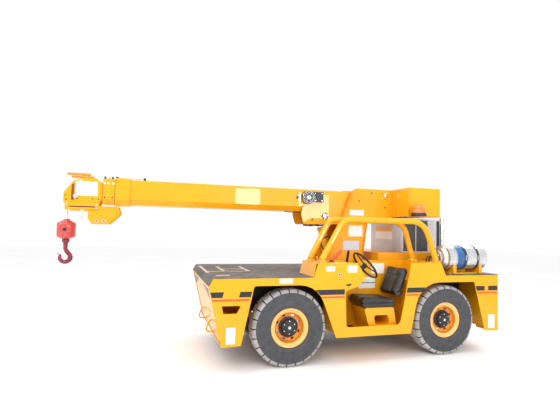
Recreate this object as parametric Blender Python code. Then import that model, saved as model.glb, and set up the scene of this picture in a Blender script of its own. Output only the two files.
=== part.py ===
"""Carry-deck mobile crane: jointed assembly of separate sub-parts, metres, +X forward, +Y left, +Z up.

Every mesh is drawn in machine coordinates: x = 0 at the front axle, y = 0 on the centreline,
z = 0 on the ground. The empty "crane" then moves the whole machine so that the origin is under
the middle of its length.
"""
import bpy
import bmesh
from math import cos, pi, radians, sin, tan
from mathutils import Matrix, Vector

# ---- clearances -------------------------------------------------------------------------------
TOUCH = 0.0003          # gap between pieces that touch
BEARING = 0.0006        # gap round a pin
RUN = 0.001             # gap between a hub and its wheel

# ---- overall sizes ----------------------------------------------------------------------------
WHEELBASE = 2.20
BODY_WIDTH = 1.93
DECK_TOP = 1.069
NOSE_X = 0.982          # front edge of the side panels, under the deck's lip
NOSE_HIGH = 0.980       # height where the sloping nose plate starts
NOSE_TOP_X = NOSE_X - 0.052
NOSE_TIP_X = NOSE_X - 0.005
NOSE_FOOT = (NOSE_X - 0.168, 0.295)
TAIL_X = -(WHEELBASE + 0.842)
TAIL_LOW = 0.290
CAB_TOP = 1.235
GUARD_TOP = 1.814       # top of the roll-over hoops
PLATE = 0.012
DECK_PLATE = 0.010

HALF = BODY_WIDTH / 2
SKIN_IN = HALF - PLATE
INSIDE = SKIN_IN - TOUCH
DECK_UNDER = DECK_TOP - DECK_PLATE
PANEL_TOP = DECK_UNDER - TOUCH

# ---- wheels and axles -------------------------------------------------------------------------
WHEEL_R = 0.461
TYRE_HALF = 0.1325
RIM_R = 0.237
BEAD_R = 0.1905
WHEEL_Y = 0.800         # middle plane of a tyre
KINGPIN_Y = 0.715
FRONT_AXLE_X = 0.0
REAR_AXLE_X = FRONT_AXLE_X - WHEELBASE
HUB_R = 0.085
WHEEL_SIDES = 40
YOKE_REACH = 0.125      # half height of the axle's yoke
YOKE_GAP = 0.0895
BARREL_R = 0.055

# ---- frame ------------------------------------------------------------------------------------
RAIL_OUT = 0.40
RAIL_IN = 0.34
RAIL_LOW = 0.60
SILL_LOW = 0.325
BELLY_LOW = 0.345
ARCH_TOP = 2 * WHEEL_R + 0.050
FRONT_BOX_X = 0.606     # rear face of the front outrigger box
REAR_BOX_X = TAIL_X + 0.191     # front face of the rear outrigger box

# ---- outriggers -------------------------------------------------------------------------------
LEG = 0.11              # square section
LEG_SLOPE = radians(43)
LEG_LENGTH = 0.80
LEG_GAP = 0.006
GUIDE_WALL = 0.012
PAD_Y = 0.815
PAD_LOW = 0.300
PAD_SIZE = (0.122, 0.17, 0.025)
ANKLE_R = 0.032
GUIDE_SPAN = (0.10, 0.62)       # ends of a leg's guide, up the leg's axis from the pad
GUIDE_BORE = 0.75
GUIDE_HALF = LEG / 2 + LEG_GAP
FRONT_LEG_X = FRONT_BOX_X + PLATE + GUIDE_HALF + 0.006
REAR_LEG_X = REAR_BOX_X - PLATE - GUIDE_HALF - 0.006
BOX_LOW = 0.31
GUSSETS = (-0.110, 0.098)       # y of the ribs between the two legs
GUSSET_LOW = 0.36
WELD = 0.004            # how far a rib stops short of the plate behind the one it joins

# ---- swing, mast and boom ---------------------------------------------------------------------
SWING_X = -0.89
WELL_R = 0.325          # bore of the fixed well the trunk turns in
WELL_WALL = 0.035
WELL_LOW = 0.445
TRUNK_R = 0.300
TRUNK_LOW = 0.470
RING_R = 0.420
RING_TOP = 1.083
TURNTABLE = 0.016
FOOT_X = -1.685         # boom foot pin
FOOT_Z = 2.175
FOOT_PIN_R = 0.036
FOOT_EYE_R = 0.068
BOOM_HALF = 0.190
CHEEK_IN = BOOM_HALF + 0.018    # faces of the mast's cheeks, either side of the boom
CHEEK_OUT = CHEEK_IN + 0.017
BOOM_LOW = 1.892
BOOM_HIGH = 2.200
BOOM_WALL = 0.010
BOOM_BEVEL = (0.068, 0.061)     # height and width of the cut-off lower edges
BOOM_REAR = -1.775
BASE_FRONT = 2.050
MID_FRONT = 2.190
TIP_FRONT = 2.240
SECTION_GAP = 0.014     # wear pad space between one boom section and the next
COLLAR = 0.014
COLLAR_LENGTH = 0.17
HEAD_FRONT = 2.620
SHEAVE_X = 2.488
SHEAVE_Z = 1.980
ROPE_R = 0.008
ROPE_LINE_R = 0.110     # from the sheave's axis to the rope's middle
BLOCK_R = 0.105
BLOCK_TOP = 1.700
BLOCK_LOW = 1.460
HOOK_LOW = 1.148

# ---- lift cylinder ----------------------------------------------------------------------------
LIFT_LOW = (-1.020, 0.550)
LIFT_HIGH = (-0.720, 1.835)
BARREL_LIFT_R = 0.065
ROD_R = 0.036
LIFT_PIN_R = 0.030
BRACKET_OUT = BOOM_HALF + 0.012
BOSS_R = 0.050
EYE_HALF = 0.050        # half width of the cylinder's eyes
BARREL_END = 1.150      # end of the barrel, from its low pin
GLAND = 0.008
BARREL_FLOOR = 0.090

# ---- winch cover, hood, tower -----------------------------------------------------------------
COVER_FRONT = -1.786
COVER_REAR = -2.315
COVER_HALF = 0.647
COVER_LOW = 1.850
COVER_HIGH = 2.260
HOOD_FRONT = -1.450
HOOD_REAR = TAIL_X + 0.062
HOOD_LEFT = 0.420
HOOD_SPLIT = -0.625     # hinge line of the engine lid
HOOD_TOP = 1.335
HOOD_WALL = 0.010
LID_GAP = 0.006
LID_SIDE = -HALF + 0.02     # outer face of the engine lid
TOWER_FRONT = -1.900
TOWER_REAR = -2.570
TOWER_LEFT = 0.310
TOWER_RIGHT = -0.605
TOWER_TOP = 1.830
STACK_X = -2.750
STACK_Y = 0.120
STACK_TOP = 1.865       # just under the boom when it swings over the hood
STACK_R = 0.035
STACK_WALL = 0.005

# ---- cab --------------------------------------------------------------------------------------
CAB_Y = 0.470           # outer face of the cab's inner wall
CAB_FRONT = -0.600
CAB_REAR = -1.630
COWL_FRONT = -0.262
COWL_TOP_FRONT = -0.300
SHELF_FRONT = -1.840
SHELF_REAR = -2.100
SHELF_FOOT = -2.172
SEAT_Y = 0.715
HOOP_R = 0.038
OUTER_HOOP_Y = 0.900
INNER_HOOP_Y = 0.600
WHEEL_HUB = (-1.090, 1.182)     # steering wheel centre
STEER_TILT = radians(39.2)      # slope of the steering column
STEER_R = 0.205
STEER_SIDES = 32
STEER_GRIP_R = 0.014
SPOKE_R = 0.009
TANK_R = 0.165
TANK_COLLAR = 0.10      # radius of the guard ring round the valve
TANK_Y = 0.760
TANK_Z = 1.290
TANK_REAR = TAIL_X + 0.082
TANK_FRONT = TANK_REAR + 0.790

MIDDLE_X = (SHEAVE_X + ROPE_LINE_R + BLOCK_R + TAIL_X) / 2

# ---- finishes: base colour, metallic, roughness -----------------------------------------------
YELLOW = ("yellow_paint", (0.95, 0.62, 0.05), 0.0, 0.30)
BLACK = ("black_paint", (0.03, 0.03, 0.03), 0.0, 0.50)
DECK = ("deck_grey", (0.09, 0.10, 0.11), 0.2, 0.70)
GREY = ("grey_paint", (0.62, 0.63, 0.65), 0.1, 0.45)
STEEL = ("bright_steel", (0.75, 0.75, 0.76), 1.0, 0.20)
RUBBER = ("tyre_rubber", (0.035, 0.037, 0.042), 0.0, 0.85)
RIM = ("rim_paint", (0.95, 0.72, 0.25), 0.0, 0.35)
VINYL = ("black_vinyl", (0.02, 0.02, 0.022), 0.0, 0.45)
TANK = ("tank_aluminium", (0.70, 0.70, 0.71), 0.9, 0.35)
RED = ("red_paint", (0.62, 0.04, 0.03), 0.0, 0.40)
AMBER = ("amber_lens", (0.95, 0.40, 0.02), 0.0, 0.15)
IRON = ("cast_iron", (0.10, 0.10, 0.11), 0.6, 0.60)

where = {}


def clear_scene():
    for thing in list(bpy.data.objects):
        bpy.data.objects.remove(thing, do_unlink=True)


def material(finish):
    name, colour, metallic, roughness = finish
    found = bpy.data.materials.get(name)
    if found:
        return found
    made = bpy.data.materials.new(name)
    made.use_nodes = True
    shader = made.node_tree.nodes["Principled BSDF"]
    shader.inputs["Base Color"].default_value = (*colour, 1.0)
    shader.inputs["Metallic"].default_value = metallic
    shader.inputs["Roughness"].default_value = roughness
    return made


def empty(name, spot, parent=None):
    """A joint's origin, at a machine-frame spot."""
    made = bpy.data.objects.new(name, None)
    bpy.context.collection.objects.link(made)
    where[made.name] = Vector(spot)
    made.parent = parent
    made.location = Vector(spot) - (where[parent.name] if parent else Vector())
    return made


# ---- shapes: each returns a closed bmesh in machine coordinates --------------------------------
def prism(outline, axis, low, high):
    """A flat outline swept along an axis: (y, z) points for X, (x, z) for Y, (x, y) for Z."""
    place = {"X": lambda a, b, c: (c, a, b), "Y": lambda a, b, c: (a, c, b), "Z": lambda a, b, c: (a, b, c)}[axis]
    bm = bmesh.new()
    ends = [[bm.verts.new(place(a, b, level)) for a, b in outline] for level in (low, high)]
    count = len(outline)
    bm.faces.new(ends[0])
    bm.faces.new(ends[1][::-1])
    for i in range(count):
        j = (i + 1) % count
        bm.faces.new((ends[0][i], ends[0][j], ends[1][j], ends[1][i]))
    bmesh.ops.recalc_face_normals(bm, faces=bm.faces)
    return bm


def block(x, y, z):
    """A box from its extents along each axis."""
    return prism([(min(x), min(y)), (max(x), min(y)), (max(x), max(y)), (min(x), max(y))], "Z", min(z), max(z))


def turned(profile, centre, direction, sides):
    """A solid of revolution: closed profile of (radius, distance along) points about a direction."""
    bm = bmesh.new()
    axis = Vector(direction).normalized()
    across = axis.orthogonal().normalized()
    rings = []
    for radius, along in profile:
        spot = Vector(centre) + axis * along
        if radius == 0.0:
            rings.append([bm.verts.new(spot)])
            continue
        ring = []
        for k in range(sides):
            turn = Matrix.Rotation(2 * pi * k / sides, 3, axis)
            ring.append(bm.verts.new(spot + turn @ across * radius))
        rings.append(ring)
    closed = len(rings[0]) > 1
    last = len(rings) if closed else len(rings) - 1
    for i in range(last):
        one, two = rings[i], rings[(i + 1) % len(rings)]
        for k in range(sides):
            n = (k + 1) % sides
            if len(one) == 1:
                bm.faces.new((one[0], two[k], two[n]))
            elif len(two) == 1:
                bm.faces.new((one[k], two[0], one[n]))
            else:
                bm.faces.new((one[k], two[k], two[n], one[n]))
    bmesh.ops.recalc_face_normals(bm, faces=bm.faces)
    return bm


def rod(start, end, radius, sides=24):
    """A plain cylinder between two spots."""
    start, end = Vector(start), Vector(end)
    length = (end - start).length
    return turned([(0.0, 0.0), (radius, 0.0), (radius, length), (0.0, length)], start, end - start, sides)


def tube(path, radius, sides=12, closed=False):
    """A round bar swept along a path of spots."""
    bm = bmesh.new()
    spots = [Vector(p) for p in path]
    count = len(spots)
    rings = []
    side = None
    for i, spot in enumerate(spots):
        ahead = spots[(i + 1) % count] if closed or i < count - 1 else spot
        behind = spots[i - 1] if closed or i > 0 else spot
        along = (ahead - behind).normalized()
        if side is None:
            side = along.orthogonal().normalized()
        side = (side - along * side.dot(along)).normalized()
        other = along.cross(side)
        rings.append([bm.verts.new(spot + side * radius * cos(2 * pi * k / sides) +
                                   other * radius * sin(2 * pi * k / sides)) for k in range(sides)])
    for i in range(count if closed else count - 1):
        one, two = rings[i], rings[(i + 1) % count]
        for k in range(sides):
            n = (k + 1) % sides
            bm.faces.new((one[k], one[n], two[n], two[k]))
    if not closed:
        bm.faces.new(rings[0][::-1])
        bm.faces.new(rings[-1])
    bmesh.ops.recalc_face_normals(bm, faces=bm.faces)
    return bm


def rounded(corners, steps=5):
    """An outline with its corners rounded: each corner is (a, b, radius)."""
    out = []
    count = len(corners)
    for i, (a, b, radius) in enumerate(corners):
        here = Vector((a, b))
        if not radius:
            out.append((a, b))
            continue
        back = (Vector(corners[i - 1][:2]) - here).normalized()
        on = (Vector(corners[(i + 1) % count][:2]) - here).normalized()
        half = back.angle(on) / 2
        centre = here + (back + on).normalized() * radius / sin(half)
        first = here + back * radius / tan(half) - centre
        last = here + on * radius / tan(half) - centre
        sweep = first.angle_signed(last)
        for k in range(steps + 1):
            spot = centre + Matrix.Rotation(-sweep * k / steps, 2) @ first
            out.append((spot.x, spot.y))
    return out


def arc_path(corners, steps=4):
    """A polyline in a plane with its inner corners rounded; ends stay sharp."""
    ring = rounded([(*corners[0][:2], 0)] + [c for c in corners[1:-1]] + [(*corners[-1][:2], 0)], steps)
    return ring


def piece(name, adds, finish, parent, pivot=None, cuts=(), inserts=()):
    """One named solid: the first mesh, the others welded on, the cuts taken out, the inserts put in."""
    origin = Vector(pivot) if pivot is not None else where[parent.name]

    def made_object(label, bm):
        bmesh.ops.translate(bm, verts=bm.verts, vec=-origin)
        mesh = bpy.data.meshes.new(label)
        bm.to_mesh(mesh)
        bm.free()
        thing = bpy.data.objects.new(label, mesh)
        bpy.context.collection.objects.link(thing)
        return thing

    body = made_object(name, adds[0])
    body.data.materials.append(material(finish))
    body.parent = parent
    body.location = origin - where[parent.name]
    where[name] = origin
    for word, operation, tools in (("add", "UNION", adds[1:]), ("cut", "DIFFERENCE", cuts),
                                   ("insert", "UNION", inserts)):
        for number, bm in enumerate(tools):
            tool = made_object(f"{name}_{word}_{number}", bm)
            tool.parent = body
            tool.hide_render = True
            tool.display_type = "WIRE"
            step = body.modifiers.new(tool.name, "BOOLEAN")
            step.operation = operation
            step.solver = "EXACT"
            step.object = tool
    return body


# ---- chassis ----------------------------------------------------------------------------------
def main_frame(chassis):
    front, rear = FRONT_BOX_X - TOUCH, REAR_BOX_X + TOUCH
    adds = [block((rear, front), (RAIL_IN, RAIL_OUT), (RAIL_LOW, PANEL_TOP)),
            block((rear, front), (-RAIL_OUT, -RAIL_IN), (RAIL_LOW, PANEL_TOP))]
    for x in (front - 0.04, FRONT_AXLE_X - 0.45, HOOD_FRONT + 0.04, rear + 0.04):
        adds.append(block((x - 0.04, x + 0.04), (-RAIL_OUT + 0.01, RAIL_OUT - 0.01), (0.70, 0.98)))
    outer = WELL_R + WELL_WALL
    adds.append(rod((SWING_X, 0, WELL_LOW), (SWING_X, 0, PANEL_TOP), outer, 48))
    adds.append(rod((SWING_X, 0, PANEL_TOP - 0.04), (SWING_X, 0, RING_TOP), RING_R, 48))
    bore = rod((SWING_X, 0, WELL_LOW + PLATE), (SWING_X, 0, RING_TOP + 0.1), WELL_R, 48)
    piece("main_frame", adds, BLACK, chassis, cuts=[bore])


def guide_frame(box_x, side):
    """Spot and directions of one outrigger: along points down and out, across is square to it."""
    spot = Vector((box_x, side * PAD_Y, PAD_LOW + PAD_SIZE[2] / 2))
    along = Vector((0, side * cos(LEG_SLOPE), -sin(LEG_SLOPE)))
    return spot, along


def slanted_bar(box_x, side, half, start, end):
    """A square bar on an outrigger's axis, from start to end up the axis from the pad."""
    spot, along = guide_frame(box_x, side)
    across = Vector((0, side * sin(LEG_SLOPE), cos(LEG_SLOPE)))
    corners = [spot - along * start + across * half, spot - along * start - across * half,
               spot - along * end - across * half, spot - along * end + across * half]
    return prism([(c.y, c.z) for c in corners], "X", box_x - half, box_x + half)


def front_outrigger_box(chassis):
    tip = (NOSE_TIP_X, NOSE_HIGH)
    face = [(NOSE_TOP_X, PANEL_TOP), tip, NOSE_FOOT, (NOSE_FOOT[0] - PLATE, NOSE_FOOT[1]),
            (tip[0] - PLATE, tip[1] - 0.004), (NOSE_TOP_X - PLATE - 0.002, PANEL_TOP)]
    adds = [prism(face, "Y", -INSIDE, INSIDE),
            block((FRONT_BOX_X, FRONT_BOX_X + PLATE), (-INSIDE, INSIDE), (BOX_LOW, PANEL_TOP)),
            block((FRONT_BOX_X, NOSE_TOP_X - 0.002), (-INSIDE, INSIDE), (PANEL_TOP - PLATE, PANEL_TOP))]
    back = FRONT_BOX_X + WELD
    for y in GUSSETS:
        gusset = [(back, PANEL_TOP - WELD), (NOSE_TOP_X - 0.010, PANEL_TOP - WELD), (NOSE_TIP_X - 0.007, 0.970),
                  (NOSE_FOOT[0] + 0.006, GUSSET_LOW), (back, GUSSET_LOW)]
        adds.append(prism(gusset, "Y", y, y + PLATE))
    cuts = []
    for side in (1, -1):
        adds.append(slanted_bar(FRONT_LEG_X, side, GUIDE_HALF + GUIDE_WALL, *GUIDE_SPAN))
        cuts.append(slanted_bar(FRONT_LEG_X, side, GUIDE_HALF, 0.0, GUIDE_BORE))
    piece("front_outrigger_box", adds, YELLOW, chassis, cuts=cuts)


def rear_outrigger_box(chassis):
    adds = [block((TAIL_X, TAIL_X + PLATE), (-INSIDE, INSIDE), (TAIL_LOW, PANEL_TOP)),
            block((REAR_BOX_X - PLATE, REAR_BOX_X), (-INSIDE, INSIDE), (BOX_LOW + 0.03, PANEL_TOP)),
            block((TAIL_X + 0.002, REAR_BOX_X), (-INSIDE, INSIDE), (PANEL_TOP - PLATE, PANEL_TOP))]
    for y in GUSSETS:
        adds.append(block((TAIL_X + WELD, REAR_BOX_X - WELD), (y, y + PLATE), (GUSSET_LOW, PANEL_TOP - WELD)))
    cuts = []
    for side in (1, -1):
        adds.append(slanted_bar(REAR_LEG_X, side, GUIDE_HALF + GUIDE_WALL, *GUIDE_SPAN))
        cuts.append(slanted_bar(REAR_LEG_X, side, GUIDE_HALF, 0.0, GUIDE_BORE))
    piece("rear_outrigger_box", adds, YELLOW, chassis, cuts=cuts)


def outrigger_legs(chassis):
    for end, x in (("front", FRONT_LEG_X), ("rear", REAR_LEG_X)):
        for word, side in (("left", 1), ("right", -1)):
            spot, along = guide_frame(x, side)
            holder = empty(f"slide_{end}_{word}", spot, chassis)
            pad = block((x - PAD_SIZE[0] / 2, x + PAD_SIZE[0] / 2),
                        (side * PAD_Y - PAD_SIZE[1] / 2, side * PAD_Y + PAD_SIZE[1] / 2),
                        (PAD_LOW, PAD_LOW + PAD_SIZE[2]))
            leg = slanted_bar(x, side, LEG / 2, 0.045, LEG_LENGTH)
            ankle_z = PAD_LOW + PAD_SIZE[2] + 0.010
            ankle = rod((x - LEG / 2 + 0.005, side * PAD_Y, ankle_z),
                        (x + LEG / 2 - 0.005, side * PAD_Y, ankle_z), ANKLE_R, 16)
            piece(f"outrigger_{end}_{word}", [pad, ankle, leg], YELLOW, holder)


def side_outline():
    """The side panel's outline with both wheel arches, top edge left to the caller."""
    front, rear = FRONT_AXLE_X, REAR_AXLE_X
    return [(NOSE_TOP_X, PANEL_TOP, 0), (NOSE_TIP_X, NOSE_HIGH, 0), (*NOSE_FOOT, 0), (front + 0.598, 0.303, 0),
            (front + 0.457, ARCH_TOP, 0.03), (front - 0.326, ARCH_TOP, 0.33), (front - 0.578, SILL_LOW, 0),
            (rear + 0.569, SILL_LOW, 0), (rear + 0.428, ARCH_TOP, 0.36), (rear - 0.440, ARCH_TOP, 0.03),
            (rear - 0.615, 0.300, 0), (TAIL_X, TAIL_LOW, 0), (TAIL_X, PANEL_TOP, 0)]


def side_panels(chassis):
    def window(side):
        """The sight hole beside a front outrigger's leg."""
        edge = [(NOSE_X - 0.154, 0.754), (NOSE_X - 0.382, 0.754), (NOSE_X - 0.327, 0.666), (NOSE_X - 0.174, 0.667)]
        return prism(rounded([(x, z, 0.01) for x, z in edge], 2), "Y", side * (HALF - 0.1), side * (HALF + 0.1))

    cab_rise = [(SHELF_FOOT, PANEL_TOP, 0), (SHELF_REAR + 0.008, CAB_TOP, 0), (COWL_TOP_FRONT - 0.03, CAB_TOP, 0),
                (COWL_FRONT - 0.023, PANEL_TOP + 0.04, 0), (COWL_FRONT - 0.015, PANEL_TOP, 0)]
    doorway = rounded([(-0.859, 1.30, 0), (-0.859, CAB_TOP, 0), (-0.974, 1.044, 0.03), (-0.871, 0.946, 0.05),
                       (-0.696, 0.888, 0.04), (-0.713, 0.445, 0.04), (-1.471, 0.445, 0.06), (-1.521, 0.668, 0),
                       (-1.635, CAB_TOP, 0), (-1.635, 1.30, 0)], 3)
    left = prism(rounded(side_outline() + cab_rise), "Y", SKIN_IN, HALF)
    door = prism(doorway, "Y", SKIN_IN - 0.1, HALF + 0.1)
    piece("left_side_panel", [left], YELLOW, chassis, cuts=[door, window(1)])
    right = prism(rounded(side_outline()), "Y", -HALF, -SKIN_IN)
    piece("right_side_panel", [right], YELLOW, chassis, cuts=[window(-1)])


def decks(chassis):
    hood_gap = HOOD_FRONT + 0.02
    lip = NOSE_HIGH + 0.005
    profile = [(hood_gap, DECK_UNDER), (hood_gap, DECK_TOP), (NOSE_TOP_X + 0.010, DECK_TOP),
               (NOSE_X + 0.008, lip), (NOSE_X - 0.001, lip - 0.005), (NOSE_TOP_X + 0.004, DECK_UNDER)]
    cab_gap = block((hood_gap - 0.1, COWL_FRONT + TOUCH), (CAB_Y - TOUCH, HALF + 0.1), (0.9, 1.2))
    hole = rod((SWING_X, 0, 0.9), (SWING_X, 0, 1.2), RING_R + TOUCH, 48)
    piece("front_deck", [prism(profile, "Y", -HALF, HALF)], DECK, chassis, cuts=[cab_gap, hole])
    strip = block((TAIL_X, SHELF_FOOT - 0.004), (HOOD_LEFT + TOUCH, HALF), (DECK_UNDER, DECK_TOP))
    piece("rear_deck", [strip], DECK, chassis)


def cab_tub(chassis):
    low_y, high_y = CAB_Y, INSIDE
    ceiling = ARCH_TOP + 0.013

    def wall(outline):
        return prism(outline, "Y", low_y, high_y)

    def sheet(a, b, offset):
        """A plate between two (x, z) points, thickened by an offset."""
        return wall([a, b, (b[0] + offset[0], b[1] + offset[1]), (a[0] + offset[0], a[1] + offset[1])])

    inner = [(COWL_FRONT, ceiling), (COWL_FRONT, DECK_TOP), (COWL_TOP_FRONT, CAB_TOP), (SHELF_REAR, CAB_TOP),
             (SHELF_FOOT, ceiling)]
    adds = [block((CAB_REAR, CAB_FRONT), (low_y, high_y), (BELLY_LOW, BELLY_LOW + PLATE)),
            block((CAB_REAR, CAB_FRONT), (low_y, low_y + PLATE), (BELLY_LOW, ceiling + 0.02)),
            prism(inner, "Y", low_y, low_y + PLATE),
            block((CAB_FRONT - PLATE, CAB_FRONT), (low_y, high_y), (BELLY_LOW, ceiling + PLATE)),
            block((CAB_FRONT - PLATE, COWL_FRONT), (low_y, high_y), (ceiling, ceiling + PLATE)),
            block((COWL_FRONT - PLATE, COWL_FRONT), (low_y, high_y), (ceiling, DECK_TOP)),
            sheet((COWL_FRONT, DECK_TOP - 0.002), (COWL_TOP_FRONT, CAB_TOP), (-PLATE, -0.003)),
            block((-0.800, COWL_TOP_FRONT), (low_y, high_y), (CAB_TOP - PLATE, CAB_TOP)),
            block((CAB_REAR, CAB_REAR + PLATE), (low_y, high_y), (BELLY_LOW, ceiling + PLATE)),
            block((SHELF_FOOT, CAB_REAR + PLATE), (low_y, high_y), (ceiling, ceiling + PLATE)),
            block((SHELF_FRONT - PLATE, SHELF_FRONT), (low_y, high_y), (ceiling, CAB_TOP)),
            block((SHELF_REAR, SHELF_FRONT), (low_y, high_y), (CAB_TOP - PLATE, CAB_TOP)),
            sheet((SHELF_FOOT, ceiling), (SHELF_REAR, CAB_TOP), (PLATE, 0.0))]
    piece("cab_tub", adds, YELLOW, chassis)


def dash_console(chassis):
    top = CAB_TOP - PLATE - TOUCH
    outline = [(-0.700, top), (-0.850, top), (-0.955, 1.045), (-0.870, 0.950), (-0.700, 0.900)]
    cab_inner = CAB_Y + PLATE + TOUCH
    direction = Vector((cos(STEER_TILT), 0, -sin(STEER_TILT)))
    start = Vector((WHEEL_HUB[0], SEAT_Y, WHEEL_HUB[1])) + direction * 0.022
    adds = [prism(outline, "Y", cab_inner, INSIDE), rod(start, start + direction * 0.24, 0.030, 16)]
    piece("dash_console", adds, BLACK, chassis)


def steering_wheel(chassis):
    hub = Vector((WHEEL_HUB[0], SEAT_Y, WHEEL_HUB[1]))
    holder = empty("steering_turn", hub, chassis)
    axis = Vector((cos(STEER_TILT), 0, -sin(STEER_TILT)))
    right = Vector((0, 1, 0))
    up = axis.cross(right)
    turns = [2 * pi * k / STEER_SIDES for k in range(STEER_SIDES)]
    path = [hub + (right * cos(turn) + up * sin(turn)) * STEER_R for turn in turns]
    adds = [rod(hub - axis * 0.012, hub + axis * 0.020, 0.035, 16)]
    for angle in (90, 210, 330):
        reach = right * cos(radians(angle)) + up * sin(radians(angle))
        adds.append(rod(hub + reach * 0.01, hub + reach * STEER_R, SPOKE_R, 8))
    adds.append(tube(path, STEER_GRIP_R, 10, closed=True))
    piece("steering_wheel", adds, VINYL, holder)


def seat(chassis):
    floor = BELLY_LOW + PLATE + TOUCH
    base = rounded([(-1.00, 0.655, 0.02), (-1.42, 0.655, 0.02), (-1.48, floor, 0), (-1.08, floor, 0)], 2)
    slot = rounded([(-1.13, 0.56, 0.03), (-1.34, 0.56, 0.03), (-1.37, 0.44, 0.03), (-1.16, 0.44, 0.03)], 2)
    piece("seat_base", [prism(base, "Y", SEAT_Y - 0.17, SEAT_Y + 0.17)], YELLOW, chassis,
          cuts=[prism(slot, "Y", 0.0, 1.0)])
    cushion = rounded([(-0.940, 0.790, 0.04), (-1.440, 0.760, 0.02), (-1.440, 0.665, 0.02), (-0.960, 0.665, 0.03)], 3)
    back = rounded([(-1.445, 0.790, 0.02), (-1.420, 0.840, 0.02), (-1.540, 1.170, 0.05), (-1.640, 1.170, 0.05),
                    (-1.510, 0.765, 0.03)], 3)
    piece("seat_cushion", [prism(cushion, "Y", SEAT_Y - 0.205, SEAT_Y + 0.205)], VINYL, chassis)
    piece("seat_back", [prism(back, "Y", SEAT_Y - 0.20, SEAT_Y + 0.20)], VINYL, chassis)


def rops_frame(chassis):
    foot = CAB_TOP + TOUCH
    tops = GUARD_TOP - HOOP_R
    start = foot + HOOP_R
    hoops = ((OUTER_HOOP_Y, [(-0.400, start, 0), (-0.688, tops, 0.20), (-1.868, tops, 0.26), (-2.055, start, 0)]),
             (INNER_HOOP_Y, [(-0.360, start, 0), (-0.625, tops, 0.14), (-1.740, tops, 0.22), (-1.888, start, 0)]))
    adds = []
    for y, corners in hoops:
        adds.append(tube([(x, y, z) for x, z in arc_path(corners, 6)], HOOP_R, 14))
        for x in (corners[0][0], corners[-1][0]):
            adds.append(rod((x, y, foot + 0.002), (x, y, start + 0.004), HOOP_R, 14))
            adds.append(block((x - 0.045, x + 0.045), (y - 0.050, y + 0.050), (foot, foot + PLATE)))
    for x in (-0.780, -1.300, -1.700):
        adds.append(rod((x, INNER_HOOP_Y, tops), (x, OUTER_HOOP_Y, tops), 0.028, 12))
    piece("rops_frame", adds, YELLOW, chassis)


def engine_cover(chassis):
    low, high = DECK_UNDER, HOOD_TOP
    w = HOOD_WALL
    split = HOOD_SPLIT + LID_GAP
    adds = [block((HOOD_REAR, HOOD_FRONT), (split, HOOD_LEFT), (high - w, high)),
            block((HOOD_REAR, HOOD_FRONT), (HOOD_LEFT - w, HOOD_LEFT), (low, high)),
            block((HOOD_FRONT - w, HOOD_FRONT), (split, HOOD_LEFT), (low, high)),
            block((HOOD_REAR, HOOD_REAR + w), (split, HOOD_LEFT), (low, high))]
    piece("engine_housing", adds, YELLOW, chassis)
    hinge = empty("hood_hinge", (HOOD_FRONT, HOOD_SPLIT, HOOD_TOP), chassis)
    outer = block((HOOD_REAR, HOOD_FRONT), (LID_SIDE, HOOD_SPLIT), (DECK_TOP + LID_GAP, high))
    inner = block((HOOD_REAR + w, HOOD_FRONT - w), (LID_SIDE + w, HOOD_SPLIT + 0.1), (DECK_TOP - 0.1, high - w))
    piece("engine_hood", [outer], YELLOW, hinge, cuts=[inner])
    piece("engine_block", [block((-2.380, -1.620), (-0.310, 0.310), (0.660, 1.250))], IRON, chassis)


def cooling_tower(chassis):
    base = HOOD_TOP + TOUCH
    adds = [block((TOWER_REAR, TOWER_FRONT), (TOWER_RIGHT, TOWER_LEFT), (base, TOWER_TOP))]
    piece("cooling_tower", adds, GREY, chassis)
    pipe = rod((STACK_X, STACK_Y, base), (STACK_X, STACK_Y, STACK_TOP), STACK_R, 20)
    bore = rod((STACK_X, STACK_Y, STACK_TOP - 0.15), (STACK_X, STACK_Y, STACK_TOP + 0.1), STACK_R - STACK_WALL, 20)
    piece("exhaust_stack", [pipe], STEEL, chassis, cuts=[bore])


def tanks(chassis):
    tank_right = block((CAB_REAR + 0.03, CAB_FRONT - 0.02), (-INSIDE, -RAIL_OUT - 0.02), (BELLY_LOW, 1.0))
    piece("hydraulic_tank", [tank_right], BLACK, chassis)
    length = TANK_FRONT - TANK_REAR
    dome = 0.07
    recess = 0.02
    shoulder = TANK_R * 0.82
    profile = [(0, recess), (0.075, recess), (shoulder, dome * 0.45), (TANK_R, dome), (TANK_R, length - dome),
               (shoulder, length - dome * 0.45), (TANK_COLLAR, length - recess), (TANK_COLLAR, length),
               (TANK_COLLAR - 0.015, length), (TANK_COLLAR - 0.015, length - recess + 0.005),
               (0, length - recess + 0.005)]
    piece("lpg_tank", [turned(profile, (TANK_REAR, TANK_Y, TANK_Z), (1, 0, 0), 32)], TANK, chassis)
    adds = [block((TANK_REAR + 0.10, TANK_FRONT - 0.14), (TANK_Y - 0.10, TANK_Y + 0.10),
                  (DECK_TOP + TOUCH, DECK_TOP + 0.02))]
    for x in (TANK_REAR + 0.16, TANK_FRONT - 0.20):
        adds.append(block((x - 0.025, x + 0.025), (TANK_Y - 0.14, TANK_Y + 0.14), (DECK_TOP + 0.01, TANK_Z - 0.08)))
    seat_cut = rod((TANK_REAR - 0.1, TANK_Y, TANK_Z), (TANK_FRONT + 0.1, TANK_Y, TANK_Z), TANK_R + 0.001, 32)
    piece("lpg_cradle", adds, YELLOW, chassis, cuts=[seat_cut])


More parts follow.
